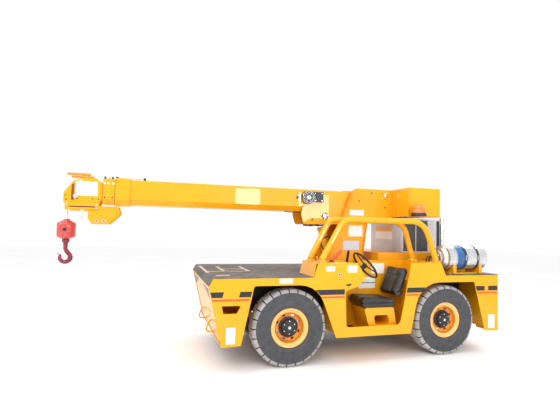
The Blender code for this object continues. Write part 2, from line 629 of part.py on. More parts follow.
def axles_and_wheels(chassis):
    for end, x in (("front", FRONT_AXLE_X), ("rear", REAR_AXLE_X)):
        middle = [(0, 0), (0.065, 0), (0.065, 0.32), (0.11, 0.40), (0.165, 0.50), (0.165, 0.66), (0.11, 0.76),
                  (0.065, 0.84), (0.065, 1.16), (0, 1.16)]
        adds = [turned(middle, (x, -0.58, WHEEL_R), (0, 1, 0), 24)]
        for side in (1, -1):
            adds.append(block((x - 0.11, x + 0.11), (side * RAIL_IN, side * RAIL_OUT), (WHEEL_R, RAIL_LOW - TOUCH)))
            adds.append(block((x - 0.05, x + 0.05), (side * 0.56, side * 0.60),
                              (WHEEL_R - YOKE_REACH, WHEEL_R + YOKE_REACH)))
            for level in (1, -1):
                adds.append(block((x - 0.05, x + 0.05), (side * 0.56, side * (KINGPIN_Y + 0.045)),
                                  (WHEEL_R + level * YOKE_GAP, WHEEL_R + level * YOKE_REACH)))
        piece(f"{end}_axle", adds, BLACK, chassis)
        for word, side in (("left", 1), ("right", -1)):
            knuckle_and_wheel(chassis, f"{end}_{word}", x, side)


def knuckle_and_wheel(chassis, label, x, side):
    kingpin = empty(f"steer_{label}", (x, side * KINGPIN_Y, WHEEL_R), chassis)
    inner_face = 0.022
    barrel = YOKE_GAP - RUN
    adds = [rod((x, side * KINGPIN_Y, WHEEL_R - barrel), (x, side * KINGPIN_Y, WHEEL_R + barrel), BARREL_R, 24),
            rod((x, side * KINGPIN_Y, WHEEL_R), (x, side * (WHEEL_Y + inner_face - RUN), WHEEL_R), HUB_R, 24),
            block((x - 0.16, x - 0.03), (side * (KINGPIN_Y - 0.055), side * (KINGPIN_Y - 0.02)),
                  (WHEEL_R - 0.012, WHEEL_R + 0.012))]
    piece(f"knuckle_{label}", adds, IRON, kingpin)
    hub = empty(f"roll_{label}", (x, side * WHEEL_Y, WHEEL_R), kingpin)
    flange = 0.1005
    rim = [(0, 0.105), (0.060, 0.105), (0.075, 0.092), (0.075, 0.034), (0.150, 0.034), (0.172, 0.060),
           (0.182, 0.104), (0.230, 0.112), (RIM_R, 0.108), (RIM_R, flange), (BEAD_R, flange), (BEAD_R, -flange),
           (RIM_R, -flange), (RIM_R, -0.110), (0.180, -0.110), (0.180, 0.0), (0.158, inner_face), (0, inner_face)]
    piece(f"rim_{label}", [turned(rim, (x, side * WHEEL_Y, WHEEL_R), (0, side, 0), WHEEL_SIDES)], RIM, hub)
    bead = flange - TOUCH
    half = [(BEAD_R + TOUCH, bead), (RIM_R + TOUCH, bead), (RIM_R + TOUCH, TYRE_HALF - 0.0145),
            (0.300, TYRE_HALF), (WHEEL_R - 0.071, TYRE_HALF), (WHEEL_R - 0.029, TYRE_HALF - 0.0105),
            (WHEEL_R - 0.006, TYRE_HALF - 0.0265), (WHEEL_R, TYRE_HALF - 0.0465)]
    tyre = half + [(r, -y) for r, y in half[::-1]]
    piece(f"tyre_{label}", [turned(tyre, (x, side * WHEEL_Y, WHEEL_R), (0, side, 0), WHEEL_SIDES)], RUBBER, hub)


# ---- superstructure ---------------------------------------------------------------------------
def mast(swing):
    deck = RING_TOP + 0.0035
    cheek = [(-0.650, deck), (-1.129, 2.211), (-1.187, 2.252), (-1.775, 2.252), (COVER_FRONT + TOUCH, 2.235),
             (COVER_FRONT + TOUCH, 1.850), (-1.375, 1.838), (-1.360, 1.755), (-1.300, 1.330), (-1.260, deck)]
    adds = [prism(cheek, "Y", CHEEK_IN, CHEEK_OUT), prism(cheek, "Y", -CHEEK_OUT, -CHEEK_IN)]
    web = [(-1.250, deck), (-1.290, 1.330), (-1.348, 1.755), (-1.365, 1.850), (COVER_FRONT + TOUCH, 1.862),
           (COVER_FRONT + TOUCH, 1.852), (-1.373, 1.840), (-1.358, 1.755), (-1.300, 1.330), (-1.260, deck)]
    adds.append(prism(web, "Y", -CHEEK_OUT + 0.004, CHEEK_OUT - 0.004))
    adds.append(rod((SWING_X, 0, deck), (SWING_X, 0, deck + TURNTABLE), RING_R, 48))
    adds.append(rod((SWING_X, 0, TRUNK_LOW), (SWING_X, 0, deck + 0.005), TRUNK_R, 40))
    adds.append(rod((FOOT_X, -CHEEK_OUT - 0.012, FOOT_Z), (FOOT_X, CHEEK_OUT + 0.012, FOOT_Z), FOOT_PIN_R, 24))
    slot = block((LIFT_LOW[0] - 0.080, -0.655), (-0.095, 0.095), (LIFT_LOW[1] - 0.065, deck + 0.1))
    low_pin = rod((LIFT_LOW[0], -0.10, LIFT_LOW[1]), (LIFT_LOW[0], 0.10, LIFT_LOW[1]), LIFT_PIN_R, 24)
    piece("mast", adds, YELLOW, swing, cuts=[slot], inserts=[low_pin])


def winch_cover(swing):
    cover = rounded([(COVER_FRONT, COVER_LOW, 0.012), (COVER_FRONT, COVER_HIGH, 0.012),
                     (COVER_REAR, COVER_HIGH, 0.012), (COVER_REAR, COVER_LOW, 0.012)], 2)
    piece("winch_cover", [prism(cover, "Y", -COVER_HALF, COVER_HALF)], YELLOW, swing)
    x, y, z = -1.885, COVER_HALF + 0.110, COVER_LOW
    adds = [rod((x, y, z + 0.006), (x, y, z + 0.050), 0.105, 24),
            turned([(0, 0.045), (0.095, 0.045), (0.090, 0.10), (0.070, 0.140), (0.035, 0.158), (0, 0.162)],
                   (x, y, z), (0, 0, 1), 24),
            block((x - 0.05, x + 0.05), (COVER_HALF + TOUCH, y), (z + 0.010, z + 0.022))]
    piece("beacon", adds, AMBER, swing)


def section(half, low, high, rear, front):
    """A boom section's outer shape: a box with its two lower edges cut off."""
    up, across = BOOM_BEVEL
    outline = [(-half, high), (-half, low + up), (-half + across, low), (half - across, low),
               (half, low + up), (half, high)]
    return prism(outline, "X", rear, front)


def boom(swing):
    lift = empty("boom_lift", (FOOT_X, 0, FOOT_Z), swing)
    wall, step = BOOM_WALL, BOOM_WALL + SECTION_GAP
    base = [section(BOOM_HALF, BOOM_LOW, BOOM_HIGH, BOOM_REAR, BASE_FRONT),
            section(BOOM_HALF + COLLAR, BOOM_LOW - COLLAR, BOOM_HIGH + COLLAR, BASE_FRONT - COLLAR_LENGTH, BASE_FRONT)]
    base.append(rod((FOOT_X, -BOOM_HALF, FOOT_Z), (FOOT_X, BOOM_HALF, FOOT_Z), FOOT_EYE_R, 28))
    bracket = rounded([(-0.400, 2.010, 0.02), (-0.362, 1.861, 0), (-0.404, 1.714, 0.03), (-0.960, 1.724, 0.03),
                       (-1.060, 1.900, 0), (-1.020, 2.010, 0.02)], 3)
    for side in (1, -1):
        base.append(prism(bracket, "Y", side * (BOOM_HALF - 0.004), side * BRACKET_OUT))
        base.append(rod((LIFT_HIGH[0], side * (BOOM_HALF - 0.002), LIFT_HIGH[1]),
                        (LIFT_HIGH[0], side * (BRACKET_OUT + 0.004), LIFT_HIGH[1]), BOSS_R, 24))
    hollow = section(BOOM_HALF - wall, BOOM_LOW + wall, BOOM_HIGH - wall, -1.600, BASE_FRONT + 0.1)
    bore = rod((FOOT_X, -0.3, FOOT_Z), (FOOT_X, 0.3, FOOT_Z), FOOT_PIN_R + BEARING, 24)
    piece("boom_base", base, YELLOW, lift, cuts=[hollow, bore])
    reel = [rod((-0.455, BRACKET_OUT + 0.006, 2.085), (-0.455, BRACKET_OUT + 0.053, 2.085), 0.092, 28),
            block((-0.680, -0.400), (BOOM_HALF + TOUCH, BOOM_HALF + 0.040), (2.030, 2.170))]
    piece("cable_reel", reel, BLACK, lift)

    mid_slide = empty("mid_slide", (MID_FRONT, 0, 2.05), lift)
    half, low, high = BOOM_HALF - step, BOOM_LOW + step, BOOM_HIGH - step
    mid = [section(half, low, high, -1.550, MID_FRONT),
           section(BOOM_HALF, BOOM_LOW, BOOM_HIGH, BASE_FRONT + 0.006, MID_FRONT)]
    hollow = section(half - wall, low + wall, high - wall, -1.7, MID_FRONT + 0.1)
    piece("boom_mid", mid, YELLOW, mid_slide, cuts=[hollow])

    tip_slide = empty("tip_slide", (HEAD_FRONT, 0, 2.05), mid_slide)
    half, low, high = half - step, low + step, high - step
    tip = [section(half, low, high, -1.500, TIP_FRONT)]
    side_plate = rounded([(2.200, high, 0), (2.280, 2.205, 0.02), (2.425, 2.205, 0.03), (2.520, 2.160, 0.05),
                          (HEAD_FRONT, 2.020, 0.04), (HEAD_FRONT, 1.900, 0.03), (2.570, 1.860, 0.02),
                          (2.250, 1.860, 0.02), (2.200, 1.950, 0)], 3)
    lug = rounded([(2.240, 1.900, 0), (2.345, 1.900, 0), (2.360, 1.800, 0.05), (2.310, 1.715, 0.04),
                   (2.040, 1.715, 0.04), (1.985, 1.780, 0.03), (2.010, 1.866, 0), (2.225, 1.866, 0)], 3)
    for side in (1, -1):
        tip.append(prism(side_plate, "Y", side * (half - 0.004), side * (half + 0.014)))
        tip.append(prism(lug, "Y", side * (half - 0.004), side * (half + 0.013)))
    tip.append(rod((SHEAVE_X, -half - 0.02, SHEAVE_Z), (SHEAVE_X, half + 0.02, SHEAVE_Z), 0.028, 20))
    tip.append(rod((2.440, -half - 0.01, 2.165), (2.440, half + 0.01, 2.165), 0.014, 12))
    hollow = section(half - wall, low + wall, high - wall, -1.7, TIP_FRONT - 0.03)
    piece("boom_tip", tip, YELLOW, tip_slide, cuts=[hollow])
    hoist_gear(tip_slide)


def hoist_gear(tip_slide):
    spin = empty("sheave_spin", (SHEAVE_X, 0, SHEAVE_Z), tip_slide)
    groove = ROPE_LINE_R - ROPE_R - 0.002
    profile = [(0.028 + BEARING, -0.030), (0.045, -0.030), (0.045, -0.018), (groove + 0.02, -0.018), (groove, -0.008),
               (groove, 0.008), (groove + 0.02, 0.018), (0.045, 0.018), (0.045, 0.030), (0.028 + BEARING, 0.030)]
    piece("head_sheave", [turned(profile, (SHEAVE_X, 0, SHEAVE_Z), (0, 1, 0), 32)], IRON, spin)
    rope_x = SHEAVE_X + ROPE_LINE_R
    plumb = empty("hook_plumb", (SHEAVE_X, 0, SHEAVE_Z), tip_slide)
    piece("hoist_rope", [rod((rope_x, 0, BLOCK_TOP + TOUCH), (rope_x, 0, SHEAVE_Z), ROPE_R, 12)], STEEL, plumb)
    drop = empty("hoist_drop", (rope_x, 0, BLOCK_TOP), plumb)
    low, high = BLOCK_LOW, BLOCK_TOP
    weight = [(0, 0), (0.060, 0), (BLOCK_R, 0.030), (BLOCK_R, high - low - 0.045), (0.055, high - low - 0.020),
              (0.035, high - low), (0, high - low)]
    piece("hook_block", [turned(weight, (rope_x, 0, low), (0, 0, 1), 36)], RED, drop)
    swivel = empty("hook_swivel", (rope_x, 0, low), drop)
    top = low - RUN
    shank = [(0, 0), (0.024, 0), (0.024, 0.10), (0.042, 0.105), (0.042, top - 1.330), (0, top - 1.330)]
    adds = [turned(shank, (rope_x, 0, 1.330), (0, 0, 1), 20)]
    centre_z, bend = 1.238, 0.058
    path = [(rope_x, 0, 1.345), (rope_x, 0, 1.325), (rope_x - 0.020, 0, 1.305)]
    for k in range(15):
        angle = radians(150 + 16 * k)
        path.append((rope_x + bend * cos(angle), 0, centre_z + bend * sin(angle)))
    path.append((rope_x + bend + 0.012, 0, centre_z + 0.058))
    adds.append(tube(path, 0.023, 12))
    piece("hook", adds, RED, swivel)


def lift_cylinder(swing):
    low = Vector((LIFT_LOW[0], 0, LIFT_LOW[1]))
    high = Vector((LIFT_HIGH[0], 0, LIFT_HIGH[1]))
    along = (high - low).normalized()
    closed = (high - low).length
    tilt = empty("lift_tilt", low, swing)
    y = Vector((0, EYE_HALF, 0))
    adds = [rod(low - y, low + y, 0.055, 24), rod(low + along * 0.03, low + along * BARREL_END, BARREL_LIFT_R, 32),
            rod(low + along * (BARREL_END - 0.035), low + along * (BARREL_END + 0.015), BARREL_LIFT_R + GLAND, 32)]
    cuts = [rod(low - 2 * y, low + 2 * y, LIFT_PIN_R + BEARING, 24),
            rod(low + along * BARREL_FLOOR, low + along * (BARREL_END + 0.1), ROD_R + 0.0015, 32)]
    piece("lift_cylinder_barrel", adds, YELLOW, tilt, cuts=cuts)
    reach = empty("lift_reach", low, tilt)
    adds = [rod(low + along * (BARREL_FLOOR + 0.005), low + along * (closed - 0.01), ROD_R, 32),
            rod(high - y, high + y, 0.040, 24)]
    piece("lift_cylinder_rod", adds, STEEL, reach)


def build():
    clear_scene()
    where.clear()
    crane = empty("crane", (0, 0, 0))
    crane.location = (-MIDDLE_X, 0, 0)
    main_frame(crane)
    front_outrigger_box(crane)
    rear_outrigger_box(crane)
    outrigger_legs(crane)
    side_panels(crane)
    decks(crane)
    cab_tub(crane)
    dash_console(crane)
    steering_wheel(crane)
    seat(crane)
    rops_frame(crane)
    engine_cover(crane)
    cooling_tower(crane)
    tanks(crane)
    axles_and_wheels(crane)
    swing = empty("swing", (SWING_X, 0, RING_TOP), crane)
    mast(swing)
    winch_cover(swing)
    boom(swing)
    lift_cylinder(swing)


build()
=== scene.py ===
"""Looks of the deck crane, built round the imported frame: paint, tyres, seat, fittings, camera and light.

Spots are written in the crane's own measures: x from the front axle, y from the middle line to the left,
z from the ground, all in metres. put() moves each finished piece by AXLE_X into the frame.
"""
from math import cos, pi, radians, sin, tan
import bmesh
import bpy
from mathutils import Matrix, Vector


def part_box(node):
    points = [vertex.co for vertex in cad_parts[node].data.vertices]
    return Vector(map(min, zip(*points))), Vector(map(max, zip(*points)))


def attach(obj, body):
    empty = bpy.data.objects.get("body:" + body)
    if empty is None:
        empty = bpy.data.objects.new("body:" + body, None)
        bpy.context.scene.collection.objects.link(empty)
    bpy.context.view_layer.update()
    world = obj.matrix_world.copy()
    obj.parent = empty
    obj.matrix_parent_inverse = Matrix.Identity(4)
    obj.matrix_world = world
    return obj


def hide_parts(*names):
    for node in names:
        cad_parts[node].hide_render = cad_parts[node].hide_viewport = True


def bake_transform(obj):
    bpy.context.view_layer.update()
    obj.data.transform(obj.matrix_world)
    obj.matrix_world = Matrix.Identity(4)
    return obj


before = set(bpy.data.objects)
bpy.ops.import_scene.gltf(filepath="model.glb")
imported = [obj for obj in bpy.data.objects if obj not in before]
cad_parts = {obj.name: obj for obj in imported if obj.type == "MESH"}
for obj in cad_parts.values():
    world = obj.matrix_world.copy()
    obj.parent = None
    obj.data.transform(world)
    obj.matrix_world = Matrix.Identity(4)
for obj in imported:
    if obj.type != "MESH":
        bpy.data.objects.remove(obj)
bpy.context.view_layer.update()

scene = bpy.context.scene


def middle(node, axis):
    low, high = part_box(node)
    return (low[axis] + high[axis]) / 2


AXLE_X = middle("tyre_front_left", 0)
REAR_AXLE = middle("tyre_rear_left", 0) - AXLE_X
WHEEL_R = middle("tyre_front_left", 2)
WHEEL_Y = middle("tyre_front_left", 1)
TYRE_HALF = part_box("tyre_front_left")[1][1] - WHEEL_Y
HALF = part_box("left_side_panel")[1][1]
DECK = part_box("front_deck")[1][2]
CAB_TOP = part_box("left_side_panel")[1][2]
BOOM_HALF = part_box("boom_mid")[1][1]
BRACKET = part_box("boom_base")[1][1] - 0.004
CHEEK = BOOM_HALF + 0.035
SWING = "superstructure"
SWING_X = -0.89
SHEAVE_X, SHEAVE_Z = middle("head_sheave", 0) - AXLE_X, middle("head_sheave", 2)
CORNERS = [(end, word, side) for end in ("front", "rear") for word, side in (("left", 1), ("right", -1))]
SIDES = (("left", 1), ("right", -1))
SKIN = 0.0008           # thickness of a decal or label
SEAT_Y = 0.715          # middle of the seat


# ---- shapes: each returns a closed bmesh -------------------------------------------------------
def prism(outline, axis, low, high):
    """A flat outline swept along an axis: (y, z) points for X, (x, z) for Y, (x, y) for Z."""
    place = {"X": lambda a, b, c: (c, a, b), "Y": lambda a, b, c: (a, c, b), "Z": lambda a, b, c: (a, b, c)}
    bm = bmesh.new()
    ends = [[bm.verts.new(place[axis](a, b, level)) for a, b in outline] for level in (low, high)]
    bm.faces.new(ends[0])
    bm.faces.new(ends[1][::-1])
    for i, near in enumerate(ends[0]):
        j = (i + 1) % len(outline)
        bm.faces.new((near, ends[0][j], ends[1][j], ends[1][i]))
    bmesh.ops.recalc_face_normals(bm, faces=bm.faces)
    return bm


def block(x, y, z):
    """A box from its extents along each axis."""
    return prism([(min(x), min(y)), (max(x), min(y)), (max(x), max(y)), (min(x), max(y))],
                 "Z", min(z), max(z))


def turned(profile, centre, direction, sides):
    """A solid of revolution: closed profile of (radius, distance along) points about a direction."""
    bm = bmesh.new()
    axis = Vector(direction).normalized()
    across = axis.orthogonal().normalized()
    rings = []
    for radius, along in profile:
        spot = Vector(centre) + axis * along
        if radius == 0.0:
            rings.append([bm.verts.new(spot)])
            continue
        turns = [Matrix.Rotation(2 * pi * k / sides, 3, axis) for k in range(sides)]
        rings.append([bm.verts.new(spot + turn @ across * radius) for turn in turns])
    last = len(rings) if len(rings[0]) > 1 else len(rings) - 1
    for i in range(last):
        one, two = rings[i], rings[(i + 1) % len(rings)]
        for k in range(sides):
            n = (k + 1) % sides
            if len(one) == 1:
                bm.faces.new((one[0], two[k], two[n]))
            elif len(two) == 1:
                bm.faces.new((one[k], two[0], one[n]))
            else:
                bm.faces.new((one[k], two[k], two[n], one[n]))
    bmesh.ops.recalc_face_normals(bm, faces=bm.faces)
    return bm


def rod(start, end, radius, sides=24, edge=0.0):
    """A round bar between two spots, its ends chamfered by edge."""
    start, end = Vector(start), Vector(end)
    length = (end - start).length
    ends = [(radius - edge, 0.0), (radius, edge), (radius, length - edge), (radius - edge, length)]
    profile = [(0.0, 0.0)] + (ends if edge else [(radius, 0.0), (radius, length)]) + [(0.0, length)]
    return turned(profile, start, end - start, sides)


def tube(path, radius, sides=12, closed=False):
    """A round bar swept along a path; radius is one number, or one for each spot."""
    bm = bmesh.new()
    spots = [Vector(p) for p in path]
    count = len(spots)
    radii = radius if isinstance(radius, (list, tuple)) else [radius] * count
    rings = []
    side = None
    for i, spot in enumerate(spots):
        ahead = spots[(i + 1) % count] if closed or i < count - 1 else spot
        behind = spots[i - 1] if closed or i > 0 else spot
        along = (ahead - behind).normalized()
        if side is None:
            side = along.orthogonal().normalized()
        side = (side - along * side.dot(along)).normalized()
        other = along.cross(side)
        turns = [2 * pi * k / sides for k in range(sides)]
        rings.append([bm.verts.new(spot + (side * cos(t) + other * sin(t)) * radii[i]) for t in turns])
    for i in range(count if closed else count - 1):
        one, two = rings[i], rings[(i + 1) % count]
        for k in range(sides):
            n = (k + 1) % sides
            bm.faces.new((one[k], one[n], two[n], two[k]))
    if not closed:
        bm.faces.new(rings[0][::-1])
        bm.faces.new(rings[-1])
    bmesh.ops.recalc_face_normals(bm, faces=bm.faces)
    return bm


def ring(centre, radius, bar, direction, sides=32, bar_sides=10, start=0.0, sweep=360.0):
    """A round bar bent into a circle, or into part of one."""
    axis = Vector(direction).normalized()
    across = axis.orthogonal().normalized()
    whole = sweep >= 360.0
    steps = sides if whole else sides + 1
    path = [Vector(centre) + Matrix.Rotation(radians(start + sweep * k / sides), 3, axis) @ across * radius
            for k in range(steps)]
    return tube(path, bar, bar_sides, closed=whole)


def smooth_path(points, steps=8):
    """A smooth curve through a few points (Catmull-Rom)."""
    spots = [Vector(p) for p in points]
    ends = [2 * spots[0] - spots[1]] + spots + [2 * spots[-1] - spots[-2]]
    path = []
    for i in range(1, len(ends) - 2):
        a, b, c, d = ends[i - 1:i + 3]
        for k in range(steps):
            t = k / steps
            path.append(0.5 * (2 * b + (c - a) * t + (2 * a - 5 * b + 4 * c - d) * t * t +
                               (3 * b - a - 3 * c + d) * t ** 3))
    return path + [spots[-1]]


def rounded(corners, steps=5):
    """An outline with its corners rounded: each corner is (a, b, radius)."""
    out = []
    count = len(corners)
    for i, (a, b, radius) in enumerate(corners):
        here = Vector((a, b))
        if not radius:
            out.append((a, b))
            continue
        back = (Vector(corners[i - 1][:2]) - here).normalized()
        on = (Vector(corners[(i + 1) % count][:2]) - here).normalized()
        half = back.angle(on) / 2
        centre = here + (back + on).normalized() * radius / sin(half)
        first = here + back * radius / tan(half) - centre
        last = here + on * radius / tan(half) - centre
        sweep = first.angle_signed(last)
        for k in range(steps + 1):
            spot = centre + Matrix.Rotation(-sweep * k / steps, 2) @ first
            out.append((spot.x, spot.y))
    return out


def plate(a, b, radius=0.006):
    """A rectangle's outline from two opposite corners, with rounded corners."""
    (a0, b0), (a1, b1) = a, b
    return rounded([(a0, b0, radius), (a1, b0, radius), (a1, b1, radius), (a0, b1, radius)], 3)


def bolt(spot, direction, radius=0.010, height=0.008):
    """A hexagon head on its washer."""
    profile = [(0, 0), (radius * 1.35, 0), (radius * 1.35, height * 0.25), (radius, height * 0.25),
               (radius, height * 0.85), (radius * 0.8, height), (0, height)]
    return turned(profile, spot, direction, 6 if radius > 0.006 else 8)


# ---- materials --------------------------------------------------------------------------------
def link(tree, out, into):
    tree.links.new(out, into)


def noise(tree, scale, detail=4.0, roughness=0.5, stretch=(1, 1, 1)):
    place = tree.nodes.new("ShaderNodeTexCoord")
    mapping = tree.nodes.new("ShaderNodeMapping")
    mapping.inputs["Scale"].default_value = stretch
    texture = tree.nodes.new("ShaderNodeTexNoise")
    texture.inputs["Scale"].default_value = scale
    texture.inputs["Detail"].default_value = detail
    texture.inputs["Roughness"].default_value = roughness
    link(tree, place.outputs["Object"], mapping.inputs["Vector"])
    link(tree, mapping.outputs["Vector"], texture.inputs["Vector"])
    return texture.outputs["Fac"]


def ramp(tree, value, stops):
    made = tree.nodes.new("ShaderNodeValToRGB")
    ends = made.color_ramp.elements
    while len(ends) < len(stops):
        ends.new(0.5)
    for element, (spot, colour) in zip(ends, stops):
        element.position = spot
        element.color = (*colour, 1.0)
    link(tree, value, made.inputs["Fac"])
    return made.outputs["Color"]


def bump(tree, shader, height, strength, distance):
    made = tree.nodes.new("ShaderNodeBump")
    made.inputs["Strength"].default_value = strength
    made.inputs["Distance"].default_value = distance
    link(tree, height, made.inputs["Height"])
    link(tree, made.outputs["Normal"], shader.inputs["Normal"])


def grey(level):
    return (level, level, level)


def surface(name, colour, dark, roughness, metallic=0.0, coat=0.0, grain=3.0, fine=200.0, relief=0.0004,
            strength=0.15, spread=0.35, shine=0.5):
    """Colour clouded between two shades, uneven gloss, and a fine grain in relief."""
    made = bpy.data.materials.new(name)
    made.use_nodes = True
    tree = made.node_tree
    shader = tree.nodes["Principled BSDF"]
    link(tree, ramp(tree, noise(tree, grain, 6.0), [(0.34, dark), (0.60, colour)]),
         shader.inputs["Base Color"])
    smear = noise(tree, grain * 4, 5.0)
    gloss = [(0.30, grey(roughness * (1 - spread))), (0.70, grey(roughness * (1 + spread)))]
    link(tree, ramp(tree, smear, gloss), shader.inputs["Roughness"])
    shader.inputs["Metallic"].default_value = metallic
    shader.inputs["Coat Weight"].default_value = coat
    shader.inputs["Coat Roughness"].default_value = 0.03
    shader.inputs["Specular IOR Level"].default_value = shine
    bump(tree, shader, noise(tree, fine, 3.0), strength, relief)
    return made


def shade(colour, factor):
    return tuple(c * factor for c in colour)


def dull(name, colour, roughness, metallic=0.0, grain=25.0, fine=300.0, relief=0.0004, darkest=0.75):
    return surface(name, colour, shade(colour, darkest), roughness, metallic, 0.0, grain, fine, relief, 0.3)


YELLOW = surface("crane_yellow", (0.86, 0.385, 0.005), (0.83, 0.355, 0.004), 0.34, coat=0.35, strength=0.04,
                 shine=0.22)
# Darker orange copy of the crane yellow: on the mast flanges it is painted shade on faces turned away from
# the light; the head's top bar and the winch cover's lower strip use it too.
ORANGE_AND_SHADE = surface("orange_and_painted_shade", (0.80, 0.25, 0.006), (0.74, 0.22, 0.005), 0.34, coat=0.3,
                      strength=0.04, shine=0.25)
BLACK = dull("black_enamel", (0.020, 0.020, 0.022), 0.38)
STRIPE = dull("stripe_black", (0.016, 0.017, 0.019), 0.30)
STRIPE_RED = dull("stripe_red", (0.78, 0.085, 0.02), 0.32, darkest=0.9)
DECK_GRIP = dull("deck_grip", (0.155, 0.140, 0.125), 0.82, grain=9.0, fine=420.0, relief=0.0016, darkest=0.55)
DECK_WORN = dull("deck_worn_strip", (0.70, 0.53, 0.38), 0.6, grain=18.0, darkest=0.7)
GREY = dull("light_grey_paint", (0.60, 0.61, 0.65), 0.42, grain=3.0, darkest=0.9)
GRILLE = dull("dark_grille", (0.085, 0.085, 0.080), 0.5, metallic=0.2)
STEEL = dull("bright_steel", (0.78, 0.78, 0.78), 0.20, metallic=1.0, darkest=0.9)
IRON = dull("black_iron", (0.030, 0.030, 0.033), 0.50, metallic=0.3)
RUBBER = dull("sidewall_rubber", (0.060, 0.062, 0.068), 0.66, grain=14.0, darkest=0.7)
TREAD = dull("dusty_tread", (0.42, 0.40, 0.39), 0.90, grain=20.0, relief=0.001, darkest=0.72)
GROOVE = dull("tread_groove", (0.050, 0.046, 0.044), 0.95)
RIM = surface("rim_yellow", (0.88, 0.49, 0.16), (0.88, 0.44, 0.10), 0.34, coat=0.25, grain=6.0)
# Darker orange copy of the rim yellow: painted shade for the rim's recessed inner dish.
RIM_PAINTED_SHADE = surface("rim_painted_shade", (0.80, 0.28, 0.02), (0.62, 0.19, 0.012), 0.42, coat=0.2, grain=7.0)
ALU = dull("tank_aluminium", (0.66, 0.67, 0.68), 0.34, metallic=0.85, grain=12.0, darkest=0.85)
RED = surface("hook_red", (0.60, 0.060, 0.050), (0.50, 0.040, 0.036), 0.30, coat=0.5, grain=7.0)
CRIMSON = surface("hook_crimson", (0.26, 0.016, 0.045), (0.15, 0.010, 0.026), 0.40, coat=0.2, grain=14.0)
LABEL = dull("blank_label", (0.86, 0.84, 0.81), 0.40, grain=10.0, darkest=0.96)
PALE = dull("pale_blue_plate", (0.62, 0.68, 0.74), 0.38, grain=10.0, darkest=0.95)
BLUE = dull("blue_band", (0.035, 0.125, 0.330), 0.36, grain=12.0)
BROWN = dull("brown_bar", (0.20, 0.062, 0.030), 0.5, grain=20.0)
BRASS = dull("valve_brass", (0.42, 0.27, 0.13), 0.36, metallic=0.8, grain=30.0)
HOSE = dull("hose_rubber", (0.018, 0.018, 0.019), 0.5)
KNOB = dull("black_knob", (0.012, 0.012, 0.013), 0.22)
GLASS_RED = surface("red_lens", (0.55, 0.010, 0.008), (0.45, 0.006, 0.006), 0.12, coat=0.8, grain=30.0)
DIAL = dull("dial_face", (0.80, 0.80, 0.76), 0.3, darkest=0.97)


def vinyl():
    """Black seat vinyl: pebbled leather grain with a soft gloss."""
    made = bpy.data.materials.new("seat_vinyl")
    made.use_nodes = True
    tree = made.node_tree
    shader = tree.nodes["Principled BSDF"]
    place = tree.nodes.new("ShaderNodeTexCoord")
    cells = tree.nodes.new("ShaderNodeTexVoronoi")
    cells.inputs["Scale"].default_value = 330.0
    link(tree, place.outputs["Object"], cells.inputs["Vector"])
    tone = ramp(tree, noise(tree, 14.0, 5.0), [(0.3, (0.010, 0.010, 0.011)), (0.7, (0.022, 0.021, 0.022))])
    link(tree, tone, shader.inputs["Base Color"])
    link(tree, ramp(tree, noise(tree, 30.0, 4.0), [(0.3, grey(0.30)), (0.7, grey(0.44))]),
         shader.inputs["Roughness"])
    shader.inputs["Coat Weight"].default_value = 0.15
    bump(tree, shader, cells.outputs["Distance"], 0.35, 0.0006)
    return made


def amber():
    made = surface("amber_lens", (0.98, 0.28, 0.006), (0.92, 0.22, 0.004), 0.10, coat=0.8, grain=20.0)
    made.node_tree.nodes["Principled BSDF"].inputs["Transmission Weight"].default_value = 0.35
    return made


VINYL = vinyl()
AMBER = amber()

NODE_LOOKS = {"main_frame": BLACK, "front_deck": DECK_GRIP, "rear_deck": DECK_GRIP, "dash_console": BLACK,
              "engine_block": IRON, "cooling_tower": GREY, "exhaust_stack": STEEL, "hydraulic_tank": BLACK,
              "lpg_tank": ALU, "front_axle": BLACK, "rear_axle": BLACK, "steering_wheel": KNOB,
              "seat_cushion": VINYL, "seat_back": VINYL, "beacon": AMBER, "cable_reel": BLACK,
              "head_sheave": IRON, "hoist_rope": STEEL, "hook_block": RED, "hook": CRIMSON,
              "lift_cylinder_rod": STEEL, }
SOFT_EDGES = ("left_side_panel", "right_side_panel", "engine_housing", "engine_hood", "cooling_tower",
              "winch_cover", "mast", "cab_tub", "boom_base", "boom_mid", "boom_tip", "seat_base",
              "cable_reel", "dash_console", "front_deck", "rear_deck", "hydraulic_tank",
              "front_outrigger_box", "rear_outrigger_box", "outrigger_front_left", "outrigger_front_right",
              "outrigger_rear_left", "outrigger_rear_right", "lpg_cradle", "main_frame", "engine_block",
              "knuckle_front_left", "knuckle_front_right", "knuckle_rear_left", "knuckle_rear_right",
              "front_axle", "rear_axle")
for name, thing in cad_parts.items():
    look = IRON if name.startswith("knuckle") else NODE_LOOKS.get(name, YELLOW)
    thing.data.materials.clear()
    thing.data.materials.append(look)
    if name in SOFT_EDGES:
        edge = thing.modifiers.new("soft_edges", "BEVEL")
        edge.width = 0.0022
        edge.segments = 2
        edge.limit_method = "ANGLE"
        edge.angle_limit = radians(38)
        edge.use_clamp_overlap = True


